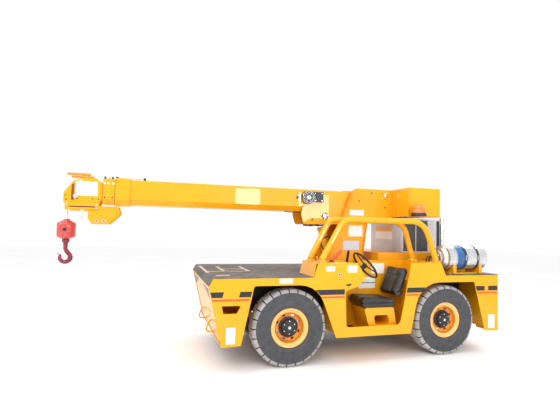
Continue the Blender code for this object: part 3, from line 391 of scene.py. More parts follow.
def put(name, body, parts, smooth=38, cuts=(), bevel=0.0, offset=True):
    """One finished piece from (shape, look) pairs, riding on a body; cuts are taken out of it."""
    whole = bmesh.new()
    looks = []
    for shape, look in parts:
        if look not in looks:
            looks.append(look)
        for face in shape.faces:
            face.material_index = looks.index(look)
        part = bpy.data.meshes.new("part")
        shape.to_mesh(part)
        shape.free()
        whole.from_mesh(part)
        bpy.data.meshes.remove(part)
    if offset:
        bmesh.ops.translate(whole, verts=whole.verts, vec=(AXLE_X, 0, 0))
    mesh = bpy.data.meshes.new(name)
    whole.to_mesh(mesh)
    whole.free()
    for look in looks:
        mesh.materials.append(look)
    mesh.shade_smooth()
    mesh.set_sharp_from_angle(angle=radians(smooth))
    made = bpy.data.objects.new(name, mesh)
    scene.collection.objects.link(made)
    if cuts:
        carve(made, cuts, offset)
    if bevel:
        edge = made.modifiers.new("soft_edges", "BEVEL")
        edge.width = bevel
        edge.segments = 2
        edge.limit_method = "ANGLE"
        edge.angle_limit = radians(38)
    if body:
        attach(made, body)
    return made


def carve(made, cuts, offset):
    """Take the cutting shapes out of a piece's mesh."""
    for bm in cuts:
        if offset:
            bmesh.ops.translate(bm, verts=bm.verts, vec=(AXLE_X, 0, 0))
        mesh = bpy.data.meshes.new("cut")
        bm.to_mesh(mesh)
        bm.free()
        tool = bpy.data.objects.new("cut", mesh)
        scene.collection.objects.link(tool)
        step = made.modifiers.new("cut", "BOOLEAN")
        step.object = tool
        bpy.context.view_layer.objects.active = made
        bpy.ops.object.modifier_apply(modifier=step.name)
        bpy.data.objects.remove(tool, do_unlink=True)
        bpy.data.meshes.remove(mesh)


def decal(name, outline, side, look=LABEL, body="chassis", y=None):
    """A thin label or stripe on a wall that faces left (side 1) or right (side -1)."""
    face = HALF if y is None else y
    return put(name, body, [(prism(outline, "Y", side * face, side * (face + SKIN)), look)])


# ---- wheels -----------------------------------------------------------------------------------
LUGS = 25
WALL_R = 0.418          # where the sidewall ends and the tread blocks begin


def tyre_shape():
    """A tyre about +Y: smooth sidewalls, and tread blocks parted by grooves from each shoulder."""
    out = TYRE_HALF
    half = [(0.2373, out - 0.032), (0.2373, out - 0.014), (0.247, out - 0.008), (0.262, out - 0.006),
            (0.268, out - 0.002), (0.288, out - 0.001), (0.294, out - 0.004), (0.340, out),
            (0.372, out), (0.376, out - 0.003), (0.382, out - 0.003), (0.386, out), (0.408, out - 0.001),
            (WALL_R, out - 0.005), (WALL_R + 0.003, out - 0.007), (0.437, out - 0.013), (0.451, out - 0.023),
            (0.4585, out - 0.036), (WHEEL_R, out - 0.050), (WHEEL_R, 0.032), (WHEEL_R, 0.030)]
    profile = half + [(r, -y) for r, y in half[::-1]]
    pitch = 2 * pi / LUGS
    groove = 0.115          # share of the pitch
    edge = 0.006
    marks = []
    for start, key in ((0.0, 1), (0.5, -1)):
        marks += [(start, 0), (start + edge, key), (start + groove, key), (start + groove + edge, 0)]
        marks += [(start + groove + (0.5 - groove) * k / 4, 0) for k in (1, 2, 3)]
    bm = bmesh.new()
    columns = []
    for lug in range(LUGS):
        for share, key in marks:
            turn = (lug + share) * pitch
            column = []
            for r, y in profile:
                if key and key * y > 0.031 and r > WALL_R:
                    r -= 0.020 if r > 0.45 else 0.012
                    y -= key * (0.004 if r < 0.44 else 0.0)
                column.append(bm.verts.new((r * cos(turn), y, r * sin(turn))))
            columns.append((key, column))
    count = len(columns)
    for i in range(count):
        key, one = columns[i]
        key_next, two = columns[(i + 1) % count]
        for k in range(len(profile)):
            n = (k + 1) % len(profile)
            face = bm.faces.new((one[k], one[n], two[n], two[k]))
            r, y = profile[k]
            tread = r >= WALL_R and profile[n][0] >= WALL_R
            floor = (key and key * y > 0.031) or (key_next and key_next * y > 0.031)
            face.material_index = (2 if floor else 1) if tread else 0
    bmesh.ops.recalc_face_normals(bm, faces=bm.faces)
    return bm


def rim_shape():
    """A dished disc wheel about +Y."""
    profile = [(0.236, -0.100), (0.236, 0.106), (0.232, 0.112), (0.226, 0.113), (0.214, 0.109),
               (0.205, 0.101), (0.190, 0.097), (0.182, 0.092), (0.176, 0.070), (0.172, 0.050),
               (0.160, 0.036), (0.146, 0.030), (0.128, 0.031), (0.100, 0.034), (0.060, 0.034),
               (0.060, 0.024), (0.150, 0.020), (0.162, 0.010), (0.166, -0.060), (0.180, -0.095),
               (0.230, -0.110), (0.236, -0.108)]
    return turned(profile, (0, 0, 0), (0, 1, 0), 96)


def hub_shapes():
    """A planetary hub: bolted flange, stepped drum and cap."""
    drum = [(0, 0.030), (0.120, 0.030), (0.122, 0.034), (0.122, 0.046), (0.118, 0.050), (0.098, 0.052),
            (0.094, 0.060), (0.092, 0.082), (0.086, 0.090), (0.062, 0.093), (0.058, 0.100), (0.046, 0.104),
            (0, 0.104)]
    parts = [(turned(drum, (0, 0, 0), (0, 1, 0), 64), IRON)]
    for k in range(10):
        turn = 2 * pi * k / 10
        spot = (0.108 * cos(turn), 0.049, 0.108 * sin(turn))
        parts.append((bolt(spot, (0, 1, 0), 0.0085, 0.012), IRON))
    for k in range(6):
        turn = 2 * pi * (k + 0.5) / 6
        parts.append((bolt((0.073 * cos(turn), 0.090, 0.073 * sin(turn)), (0, 1, 0), 0.006, 0.006), STEEL))
    parts.append((bolt((0, 0.103, 0), (0, 1, 0), 0.014, 0.008), STEEL))
    return parts


def wheels():
    tyre = put("tyre_master", "wheel_front_left", [], offset=False)
    shape = tyre_shape()
    shape.to_mesh(tyre.data)
    shape.free()
    for look in (RUBBER, TREAD, GROOVE):
        tyre.data.materials.append(look)
    holes = []
    for k in range(8):
        turn = 2 * pi * (k + 0.5) / 8
        spot = Vector((0.146 * cos(turn), 0, 0.146 * sin(turn)))
        along = Vector((-sin(turn), 0, cos(turn)))
        for shift in (-0.010, 0.0, 0.010):
            start = spot + along * shift
            holes.append(rod(start - Vector((0, 0.03, 0)), start + Vector((0, 0.06, 0)), 0.0115, 16))
    disc = put("rim_master", "wheel_front_left", [(rim_shape(), RIM)], cuts=holes, offset=False)
    disc.data.materials.append(RIM_PAINTED_SHADE)
    # Faces of the inner dish, set back round the hub, take the darker copy: painted shade in the recess.
    for face in disc.data.polygons:
        if Vector((face.center.x, face.center.z)).length < 0.183 and face.center.y < 0.09:
            face.material_index = 1
    hub = put("hub_master", "wheel_front_left", hub_shapes(), offset=False)
    for end, word, side in CORNERS:
        centre = Vector((AXLE_X + (0 if end == "front" else REAR_AXLE), side * WHEEL_Y, WHEEL_R))
        turn = Matrix.Translation(centre) @ Matrix.Rotation(0 if side > 0 else pi, 4, "Z")
        for label, master, angle in (("tread_tyre", tyre, 40), ("dished_rim", disc, 35),
                                     ("planet_hub", hub, 40)):
            mesh = master.data.copy()
            mesh.transform(turn)
            mesh.shade_smooth()
            mesh.set_sharp_from_angle(angle=radians(angle))
            made = bpy.data.objects.new(f"{label}_{end}_{word}", mesh)
            scene.collection.objects.link(made)
            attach(made, f"wheel_{end}_{word}")
            if label == "tread_tyre":
                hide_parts(f"tyre_{end}_{word}")
            elif label == "dished_rim":
                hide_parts(f"rim_{end}_{word}")
    for master in (tyre, disc, hub):
        bpy.data.objects.remove(master, do_unlink=True)


# ---- body ---------------------------------------------------------------------------------------
BAND = (0.848, 0.912)
RED_LINE = (0.808, 0.829)


def stripes():
    (low, high), (red_low, red_high) = BAND, RED_LINE
    for word, side in SIDES:
        decal(f"nose_band_{word}", [(0.959, high), (0.804, high), (0.824, low), (0.943, low)], side, STRIPE)
        decal(f"arch_band_{word}", [(0.619, high), (0.482, high), (0.496, low), (0.636, low)], side, STRIPE)
        decal(f"nose_line_{word}", [(0.938, red_high), (0.510, red_high), (0.515, red_low),
                                    (0.933, red_low)], side, STRIPE_RED)
        rear_stop = -0.684 if side > 0 else -1.856
        curve = [(-0.294, high), (-0.330, 0.882), (-0.362, low)]
        decal(f"side_band_{word}", curve + ([(rear_stop, low), (rear_stop, high)] if side > 0 else
                                            [(-1.796, low), (-1.828, 0.882), (-1.858, high)]), side, STRIPE)
        line = [(-0.374, red_high), (-0.388, red_low)]
        line += ([(rear_stop, red_low), (rear_stop, red_high)] if side > 0
                 else [(-1.766, red_low), (-1.778, red_high)])
        decal(f"side_line_{word}", line, side, STRIPE_RED)
        if side > 0:
            decal("door_band_left", [(-1.577, high), (-1.564, low), (-1.796, low), (-1.828, 0.882),
                                     (-1.858, high)], side, STRIPE)
            decal("door_line_left", [(-1.561, red_high), (-1.557, red_low), (-1.766, red_low),
                                     (-1.778, red_high)], side, STRIPE_RED)
        decal(f"tail_band_{word}", [(-2.662, high), (-2.679, low), (-2.811, low), (-2.811, high)], side,
              STRIPE)
        decal(f"end_band_{word}", [(-2.873, high), (-2.873, low), (-3.033, low), (-3.033, high)], side,
              STRIPE)
        decal(f"tail_line_{word}", [(-2.684, red_high), (-2.690, red_low), (-3.033, red_low),
                                    (-3.033, red_high)], side, STRIPE_RED)


def labels():
    spots = {"arch_label": ((0.157, 0.998), (-0.007, 1.052)),
             "cowl_label": ((-0.436, 1.134), (-0.548, 1.194)),
             "door_label": ((-0.720, 1.117), (-0.850, 1.202)),
             "nose_sign": ((0.771, 0.330), (0.667, 0.512)),
             "tail_sign": ((-2.871, 0.330), (-2.978, 0.516))}
    for name, (a, b) in spots.items():
        for word, side in SIDES:
            if side > 0 or name in ("nose_sign", "tail_sign"):
                decal(f"{name}_{word}", plate(a, b), side)
    latch = rounded([(-0.690, 0.969, 0.003), (-0.777, 0.982, 0.003), (-0.762, 0.958, 0.006),
                     (-0.731, 0.945, 0.006)], 2)
    put("door_latch", "chassis", [(prism(latch, "Y", HALF, HALF + 0.003), BLACK)])
    lock = [(turned([(0.009, 0), (0.017, 0), (0.018, 0.003), (0.016, 0.006), (0.010, 0.006)],
                    (-0.608, HALF, 1.095), (0, 1, 0), 28), STEEL),
            (rod((-0.608, HALF, 1.095), (-0.608, HALF + 0.002, 1.095), 0.0095, 20), BLACK)]
    put("key_lock", "chassis", lock)


NOSE_TIP = (0.977, 0.980)       # ends of the sloping nose plate: x, z
NOSE_FOOT = (0.814, 0.295)
LOOP_SPAN = (0.490, 0.645)      # ends of a tie-down loop, down the nose plate


def nose():
    """Front plate: flange strips, black corners, tie-down loops and the bolts along each sloping edge."""
    tip, foot = Vector(NOSE_TIP), Vector(NOSE_FOOT)
    down = (foot - tip).normalized()
    out = Vector((-down.y, down.x))

    def on_face(distance, lift=0.0):
        spot = tip + down * distance + out * lift
        return spot.x, spot.y

    def strip(start, stop, y0, y1, thick, look):
        outline = [on_face(start), on_face(start, thick), on_face(stop, thick), on_face(stop)]
        return prism(outline, "Y", y0, y1), look

    parts = [strip(0.010, 0.690, side * (HALF - 0.050), side * (HALF - 0.002), 0.007, YELLOW)
             for side in (1, -1)]
    parts += [strip(0.690, 0.704, -HALF + 0.002, HALF - 0.002, 0.010, YELLOW)]
    for side in (1, -1):
        for k in range(4):
            x, z = on_face(0.615 + 0.024 * k, 0.007)
            parts.append((bolt((x, side * (HALF - 0.026), z), (out.x, 0, out.y), 0.006, 0.005), BLACK))
    put("nose_trim", "chassis", parts, bevel=0.001)
    for word, side in SIDES:
        corner = bmesh.new()
        rim = [(0.25, 0.052), (HALF - 0.012, 0.052), (HALF - 0.012, 0.210)]
        ends = [[corner.verts.new((*on_face(d, lift)[:1], side * y, on_face(d, lift)[1])) for y, d in rim]
                for lift in (0.0003, 0.0018)]
        corner.faces.new(ends[0])
        corner.faces.new(ends[1][::-1])
        for k in range(3):
            n = (k + 1) % 3
            corner.faces.new((ends[0][k], ends[0][n], ends[1][n], ends[1][k]))
        bmesh.ops.recalc_face_normals(corner, faces=corner.faces)
        put(f"nose_corner_{word}", "chassis", [(corner, STRIPE)])
        y = side * 0.42
        (x0, z0), (x1, z1) = on_face(LOOP_SPAN[0]), on_face(LOOP_SPAN[1])
        path = smooth_path([(x0 - 0.004, y, z0), (x0 + 0.030, y, z0 - 0.028), (x1 + 0.095, y, z1 + 0.050),
                            (x1 + 0.085, y, z1 + 0.012), (x1 + 0.045, y, z1), (x1 - 0.004, y, z1 + 0.004)], 8)
        put(f"tie_loop_{word}", "chassis", [(tube(path, 0.0105, 14), YELLOW)])


def floor_edges():
    """Folded flanges along the lower edges of both side panels."""
    for word, side in SIDES:
        y0, y1 = side * (HALF - 0.045), side * (HALF - 0.0125)
        put(f"lower_flange_{word}", "chassis", [(block((-1.625, -0.585), (y0, y1), (0.326, 0.334)), YELLOW)],
            bevel=0.0015)


def deck_details():
    """Worn metal strips of the deck's hatch frame, and the grip pad of the rear step."""
    top = DECK + 0.0012
    bars = [((0.898, 0.940), (-0.62, 0.36)), ((0.668, 0.708), (-0.50, 0.205)),
            ((0.338, 0.382), (-0.50, 0.215)), ((0.382, 0.898), (0.176, 0.212)),
            ((0.382, 0.668), (-0.140, -0.095)), ((0.700, 0.870), (0.600, 0.735)),
            ((-0.420, -0.385), (-0.46, 0.02))]
    parts = [(prism(plate((x[0], y[0]), (x[1], y[1]), 0.004), "Z", DECK, top), DECK_WORN)
             for x, y in bars[:5]]
    parts.append((prism(plate((bars[5][0][0], bars[5][1][0] + 0.07), (bars[5][0][1], bars[5][1][1]), 0.01),
                        "Z", DECK, top), DECK_WORN))
    put("deck_strips", "chassis", parts)
    edge = [(block((-3.035, -2.60), (0.44, 0.94), (DECK, DECK + 0.0012)), DECK_GRIP)]
    put("rear_step_pad", "chassis", edge)


wheels()
stripes()
labels()
nose()
floor_edges()
deck_details()


# ---- boom and head ------------------------------------------------------------------------------
HEAD_Y = 0.156          # outer face of the head's side plates
COLLAR_Y = BRACKET + 0.001


def boom_labels():
    for word, side in SIDES:
        decal(f"collar_label_{word}", plate((1.900, 1.950), (1.985, 2.160), 0.004), side, LABEL,
              "boom_base", COLLAR_Y)
        decal(f"head_plate_{word}", plate((2.252, 1.985), (2.492, 2.158), 0.008), side, LABEL, "boom_tip",
              HEAD_Y)
        pads = [(block((x - 0.011, x + 0.011), (side * BOOM_HALF, side * (BOOM_HALF + 0.0016)),
                       (2.135, 2.157)), LABEL) for x in (2.075, 2.130, 2.172)]
        pads += [(bolt((x, side * BOOM_HALF, 1.975), (0, side, 0), 0.007, 0.006), IRON)
                 for x in (2.080, 2.165)]
        put(f"wear_pad_ends_{word}", "boom_mid", pads)


def boom_top():
    """Stowing rails, the top bar over the head and the welded rims of the collars."""
    for word, side in SIDES:
        y = side * 0.150
        rail = [(rod((1.700, y, 2.222), (2.045, y, 2.222), 0.0085, 14), GREY)]
        rail += [(block((x - 0.014, x + 0.014), (y - 0.014, y + 0.014),
                        (2.200 if x < 1.88 else 2.214, 2.234)), BLACK) for x in (1.712, 2.034)]
        put(f"base_rail_{word}", "boom_base", rail, bevel=0.001)
        short = [(rod((2.075, y, 2.218), (2.180, y, 2.218), 0.0085, 14), GREY)]
        short += [(block((x - 0.010, x + 0.010), (y - 0.013, y + 0.013), (2.200, 2.230)), BLACK)
                  for x in (2.084, 2.171)]
        put(f"mid_rail_{word}", "boom_mid", short, bevel=0.001)
        bar = [(rod((2.330, side * 0.149, 2.242), (2.590, side * 0.149, 2.242), 0.0145, 16, 0.003),
                ORANGE_AND_SHADE)]
        bar += [(rod((x, side * 0.149, 2.190), (x, side * 0.149, 2.236), 0.008, 12), ORANGE_AND_SHADE)
                for x in (2.350, 2.410)]
        put(f"head_bar_{word}", "boom_tip", bar)
        lip = [(block((1.880, 1.888), (side * COLLAR_Y, side * (COLLAR_Y + 0.003)), (1.960, 2.205)), YELLOW),
               (block((2.042, 2.050), (side * COLLAR_Y, side * (COLLAR_Y + 0.003)), (1.960, 2.205)), YELLOW)]
        put(f"collar_welds_{word}", "boom_base", lip, bevel=0.001)


def head_details():
    for word, side in SIDES:
        near, far = side * HEAD_Y, side * (HEAD_Y + 0.006)
        bar = rounded([(2.508, 1.930, 0.003), (2.536, 1.930, 0.003), (2.536, 2.110, 0.003),
                       (2.508, 2.136, 0.003)], 2)
        put(f"head_bar_upright_{word}", "boom_tip", [(prism(bar, "Y", near, far), BROWN)])
        beam = rounded([(2.232, 1.812, 0.004), (2.602, 1.812, 0.012), (2.602, 1.902, 0.012),
                        (2.232, 1.902, 0.004)], 3)
        # A thin black sheet over the beam's long slot: painted shade for the dark inside of the slot.
        slot_shade = rounded([(2.268, 1.846, 0.005), (2.560, 1.846, 0.005), (2.560, 1.860, 0.005),
                        (2.268, 1.860, 0.005)], 3)
        parts = [(prism(beam, "Y", side * (HEAD_Y - 0.014), far), YELLOW),
                 (prism(slot_shade, "Y", far, side * (HEAD_Y + 0.0066)), BLACK)]
        parts += [(bolt((x, far, z), (0, side, 0), 0.008, 0.008), STEEL)
                  for x, z in ((2.580, 1.884), (2.250, 1.884), (2.250, 1.830))]
        put(f"head_beam_{word}", "boom_tip", parts, bevel=0.0008)
        lug = rounded([(2.335, 1.820, 0), (2.350, 1.720, 0.03), (2.300, 1.646, 0.03), (2.120, 1.646, 0.03),
                       (2.040, 1.720, 0.03), (2.030, 1.820, 0)], 4)
        holes = [rod((x, side * 0.10, 1.688), (x, side * 0.22, 1.688), 0.013, 24) for x in (2.164, 2.245)]
        put(f"jib_lug_{word}", "boom_tip", [(prism(lug, "Y", near, far), YELLOW)], cuts=holes, bevel=0.001)
        rings = [(turned([(0.0135, 0), (0.021, 0), (0.022, 0.003), (0.0135, 0.003)], (x, far, 1.688),
                         (0, side, 0), 28), STEEL) for x in (2.164, 2.245)]
        put(f"lug_bushes_{word}", "boom_tip", rings)
        pins = [(rod((SHEAVE_X, near + side * 0.004, SHEAVE_Z), (SHEAVE_X, side * 0.172, SHEAVE_Z),
                     0.027, 28, 0.002), STEEL),
                (bolt((2.440, side * 0.1575, 2.165), (0, side, 0), 0.013, 0.010), STEEL)]
        pins += [(bolt((x, near, z), (0, side, 0), 0.006, 0.006), IRON)
                 for x, z in ((2.600, 1.985), (2.590, 1.935), (2.300, 1.950), (2.470, 1.950), (2.236, 1.950))]
        put(f"head_pins_{word}", "boom_tip", pins)
    links = []
    for k in range(4):
        z = 1.802 - 0.032 * k
        normal = (1, 0, 0) if k % 2 else (0, 1, 0)
        links.append((ring((2.406, 0.169, z), 0.0135, 0.0038, normal, 16, 8), STEEL))
    shackle = smooth_path([(2.392, 0.169, 1.655), (2.390, 0.169, 1.676), (2.406, 0.169, 1.694),
                           (2.422, 0.169, 1.676), (2.420, 0.169, 1.655)], 5)
    links += [(tube(shackle, 0.0048, 10), STEEL),
              (rod((2.385, 0.169, 1.655), (2.427, 0.169, 1.655), 0.006, 12), STEEL)]
    put("limit_chain", "boom_tip", links)


def reel():
    """Rings and hub of the cable reel, its boxed guard's fastenings and the clamps on the boom beside it."""
    face = BRACKET + 0.053
    x, z = -0.455, 2.085
    parts = [(ring((x, face, z), radius, 0.004, (0, 1, 0), 48, 8), look)
             for radius, look in ((0.088, STEEL), (0.066, GREY), (0.030, STEEL))]
    parts.append((turned([(0, 0), (0.024, 0), (0.024, 0.006), (0.016, 0.010), (0, 0.010)], (x, face, z),
                         (0, 1, 0), 28), STEEL))
    for k in range(6):
        turn = 2 * pi * k / 6
        parts.append((rod((x + 0.030 * cos(turn), face, z + 0.030 * sin(turn)),
                          (x + 0.084 * cos(turn), face, z + 0.084 * sin(turn)), 0.003, 8), GREY))
    cover = BOOM_HALF + 0.040
    parts += [(block((a - 0.002, a + 0.002), (cover, cover + 0.0015), (2.034, 2.166)), IRON)
              for a in (-0.64, -0.575)]
    parts += [(bolt((a, cover, b), (0, 1, 0), 0.0055, 0.005), STEEL) for a in (-0.66, -0.56)
              for b in (2.05, 2.15)]
    put("reel_fittings", "boom_base", parts)
    clamps = [(block((-0.345, -0.325), (BOOM_HALF, BOOM_HALF + 0.012), (2.020, 2.150)), STEEL),
              (block((-0.322, -0.292), (BOOM_HALF, BOOM_HALF + 0.006), (2.066, 2.100)), BLACK)]
    clamps += [(bolt((-0.335, BOOM_HALF + 0.012, b), (0, 1, 0), 0.006, 0.005), IRON) for b in (2.032, 2.138)]
    put("cable_clamps", "boom_base", clamps, bevel=0.001)


def bracket():
    for word, side in SIDES:
        face = side * (BRACKET + 0.004)
        plates = [(turned([(0, 0), (0.036, 0), (0.036, 0.006), (0.033, 0.008), (0, 0.008)],
                          (-0.720, face, 1.835), (0, side, 0), 40), STEEL),
                  (turned([(0.037, 0), (0.050, 0), (0.050, 0.004), (0.037, 0.004)], (-0.720, face, 1.835),
                          (0, side, 0), 40), BLACK),
                  (turned([(0, 0), (0.026, 0), (0.026, 0.006), (0.018, 0.010), (0, 0.010)],
                          (-0.524, side * BRACKET, 1.784), (0, side, 0), 28), YELLOW),
                  (bolt((-0.524, side * (BRACKET + 0.010), 1.784), (0, side, 0), 0.009, 0.006), IRON)]
        plates += [(bolt((-0.720 + 0.043 * cos(a), face + side * 0.004, 1.835 + 0.043 * sin(a)), (0, side, 0),
                         0.004, 0.004), STEEL) for a in (0.7, 2.8, 4.9)]
        put(f"lift_pin_caps_{word}", "boom_base", plates)
        put(f"pipe_ends_{word}", "boom_base",
            [(rod((-0.700, side * 0.150, 1.704), (-0.520, side * 0.150, 1.704), 0.011, 14, 0.002), BLACK),
             (rod((-0.650, side * 0.150, 1.704), (-0.618, side * 0.150, 1.704), 0.016, 6), IRON),
             (rod((-0.580, side * 0.150, 1.704), (-0.555, side * 0.150, 1.704), 0.015, 6), STEEL)])
    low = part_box("boom_mid")[0][2]
    put("boom_grease_line", "boom_base",
        [(tube(smooth_path([(-0.375, 0.10, low - 0.004), (-0.26, 0.10, low - 0.012),
                            (-0.150, 0.10, low - 0.004)], 8), 0.006, 10), HOSE)])


# ---- mast, winch cover and beacon ----------------------------------------------------------------
def mast():
    """Flanges along the cheeks, their pins, blank labels and the ring of slewing bolts."""
    front = ((-0.652, 1.090), (-1.129, 2.211))
    rear = ((-1.262, 1.090), (-1.300, 1.330), (-1.360, 1.755), (-1.376, 1.836))
    for word, side in SIDES:
        y0, y1 = side * (CHEEK - 0.016), side * (CHEEK + 0.036)
        (x0, z0), (x1, z1) = front
        # The flange strips are painted shade: their darker orange stands for the shade on their forward
        # faces.
        strips = [(prism([(x0, z0), (x0 + 0.009, z0), (x1 + 0.009, z1), (x1, z1)], "Y", y0, y1), ORANGE_AND_SHADE)]
        for (ax, az), (bx, bz) in zip(rear, rear[1:]):
            strips.append((prism([(ax, az), (ax - 0.008, az), (bx - 0.008, bz), (bx, bz)], "Y",
                                 side * CHEEK, side * (CHEEK + 0.032)), ORANGE_AND_SHADE))
        strips.append((prism([(-1.376, 1.836), (-1.376, 1.828), (-1.780, 1.840), (-1.780, 1.848)], "Y",
                             side * CHEEK, side * (CHEEK + 0.032)), ORANGE_AND_SHADE))
        put(f"mast_flanges_{word}", SWING, strips, bevel=0.001)
        pin = side * (CHEEK + 0.012)
        fittings = [(turned([(0, 0), (0.034, 0), (0.034, 0.003), (0.030, 0.005), (0, 0.005)],
                            (-1.685, pin, 2.175), (0, side, 0), 40), STEEL),
                    (turned([(0.037, 0), (0.062, 0), (0.062, 0.010), (0.037, 0.010)],
                            (-1.685, side * CHEEK, 2.175), (0, side, 0), 48), YELLOW)]
        fittings += [(turned([(0, 0), (0.012, 0), (0.012, 0.0012), (0, 0.0012)], (x, side * CHEEK, z),
                             (0, side, 0), 20), BLACK)
                     for x, z in ((-1.447, 2.196), (-1.671, 1.991), (-1.24, 2.07))]
        fittings += [(bolt((x, side * CHEEK, z), (0, side, 0), 0.009, 0.008), STEEL)
                     for x, z in ((-1.625, 2.130), (-1.745, 2.130), (-0.80, 1.16), (-1.20, 1.16))]
        put(f"mast_pins_{word}", SWING, fittings)
        decal(f"mast_label_top_{word}", plate((-1.098, 1.860), (-1.318, 1.938)), side, LABEL, SWING, CHEEK)
        decal(f"mast_label_mid_{word}", plate((-1.080, 1.556), (-1.300, 1.712)), side, LABEL, SWING, CHEEK)
        decal(f"mast_label_low_{word}", plate((-0.995, 1.362), (-1.250, 1.490)), side, PALE, SWING, CHEEK)
    bolts = []
    for k in range(28):
        turn = 2 * pi * (k + 0.5) / 28
        spot = (SWING_X + 0.398 * cos(turn), 0.398 * sin(turn), 1.1025)
        bolts.append((bolt(spot, (0, 0, 1), 0.009, 0.010), IRON))
    put("slewing_bolts", SWING, bolts)
    loop = smooth_path([(-0.915, 0.17, 1.104), (-0.895, 0.17, 1.25), (-0.868, 0.17, 1.40),
                        (-0.84, 0.168, 1.50), (-0.775, 0.165, 1.545), (-0.700, 0.163, 1.500),
                        (-0.690, 0.162, 1.425), (-0.735, 0.160, 1.355), (-0.810, 0.158, 1.365),
                        (-0.858, 0.180, 1.430), (-0.905, 0.200, 1.500), (-0.94, 0.206, 1.60)], 8)
    put("swing_hose", SWING, [(tube(loop, 0.0105, 12), HOSE)])


def winch_details():
    """Seams, rivets and rear grille of the winch cover, and the beacon on its foot."""
    low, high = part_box("winch_cover")
    x0, x1, y1 = low[0] - AXLE_X, high[0] - AXLE_X, high[1]
    z0, z1 = low[2], high[2]
    for word, side in SIDES:
        trim = [(block((x1 - 0.020, x1 - 0.016), (side * y1, side * (y1 + 0.0012)),
                       (z0 + 0.02, z1 - 0.015)), BROWN),
                (block((x0 + 0.015, x1 - 0.030), (side * y1, side * (y1 + 0.002)),
                       (z0 + 0.006, z0 + 0.016)), ORANGE_AND_SHADE)]
        trim += [(bolt((x, side * y1, z), (0, side, 0), 0.0055, 0.004), YELLOW)
                 for x in (x1 - 0.05, (x0 + x1) / 2, x0 + 0.05) for z in (z0 + 0.05, z1 - 0.05)]
        put(f"cover_trim_{word}", SWING, trim)
    front = [(block((x1, x1 + 0.002), (y - 0.0015, y + 0.0015), (z0 + 0.02, z1 - 0.02)), BROWN)
             for y in (-0.34, 0.34)]
    front += [(bolt((x1, y, z), (1, 0, 0), 0.0055, 0.004), YELLOW)
              for y in (-0.61, -0.37, 0.37, 0.61) for z in (z0 + 0.04, z1 - 0.04)]
    put("cover_front_seams", SWING, front)
    grille = [(block((x0 - 0.0015, x0), (-0.46, 0.46), (z0 + 0.08, z1 - 0.09)), GRILLE)]
    grille += [(block((x0 - 0.005, x0 - 0.001), (-0.46, 0.46), (z, z + 0.004)), YELLOW)
               for z in [z0 + 0.086 + 0.014 * k for k in range(17)]]
    put("cover_rear_grille", SWING, grille)
    x, y = middle("beacon", 0) - AXLE_X, y1 + 0.110
    base = z0 + 0.006
    foot = [(turned([(0, 0), (0.104, 0), (0.105, 0.006), (0.102, 0.038), (0.098, 0.044), (0, 0.044)],
                    (x, y, base), (0, 0, 1), 48), BLACK),
            (block((x - 0.05, x + 0.05), (y1, y), (base + 0.004, base + 0.016)), BLACK)]
    put("beacon_foot", SWING, foot, bevel=0.001)
    dome = turned([(0, 0.040), (0.094, 0.040), (0.094, 0.048), (0.091, 0.070), (0.087, 0.095), (0.078, 0.120),
                   (0.062, 0.138), (0.038, 0.150), (0.015, 0.155), (0, 0.155)], (x, y, base), (0, 0, 1), 96)
    for vert in dome.verts:
        flat = Vector((vert.co.x - x, vert.co.y - y))
        if flat.length > 0.03 and vert.co.z > base + 0.045:
            turn = Vector((1, 0)).angle_signed(flat)
            flat = flat * (1 + 0.022 * cos(24 * turn))
            vert.co.x, vert.co.y = x + flat.x, y + flat.y
    lamp_dome = put("beacon_dome", SWING, [(dome, AMBER)], smooth=60)
    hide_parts("beacon")


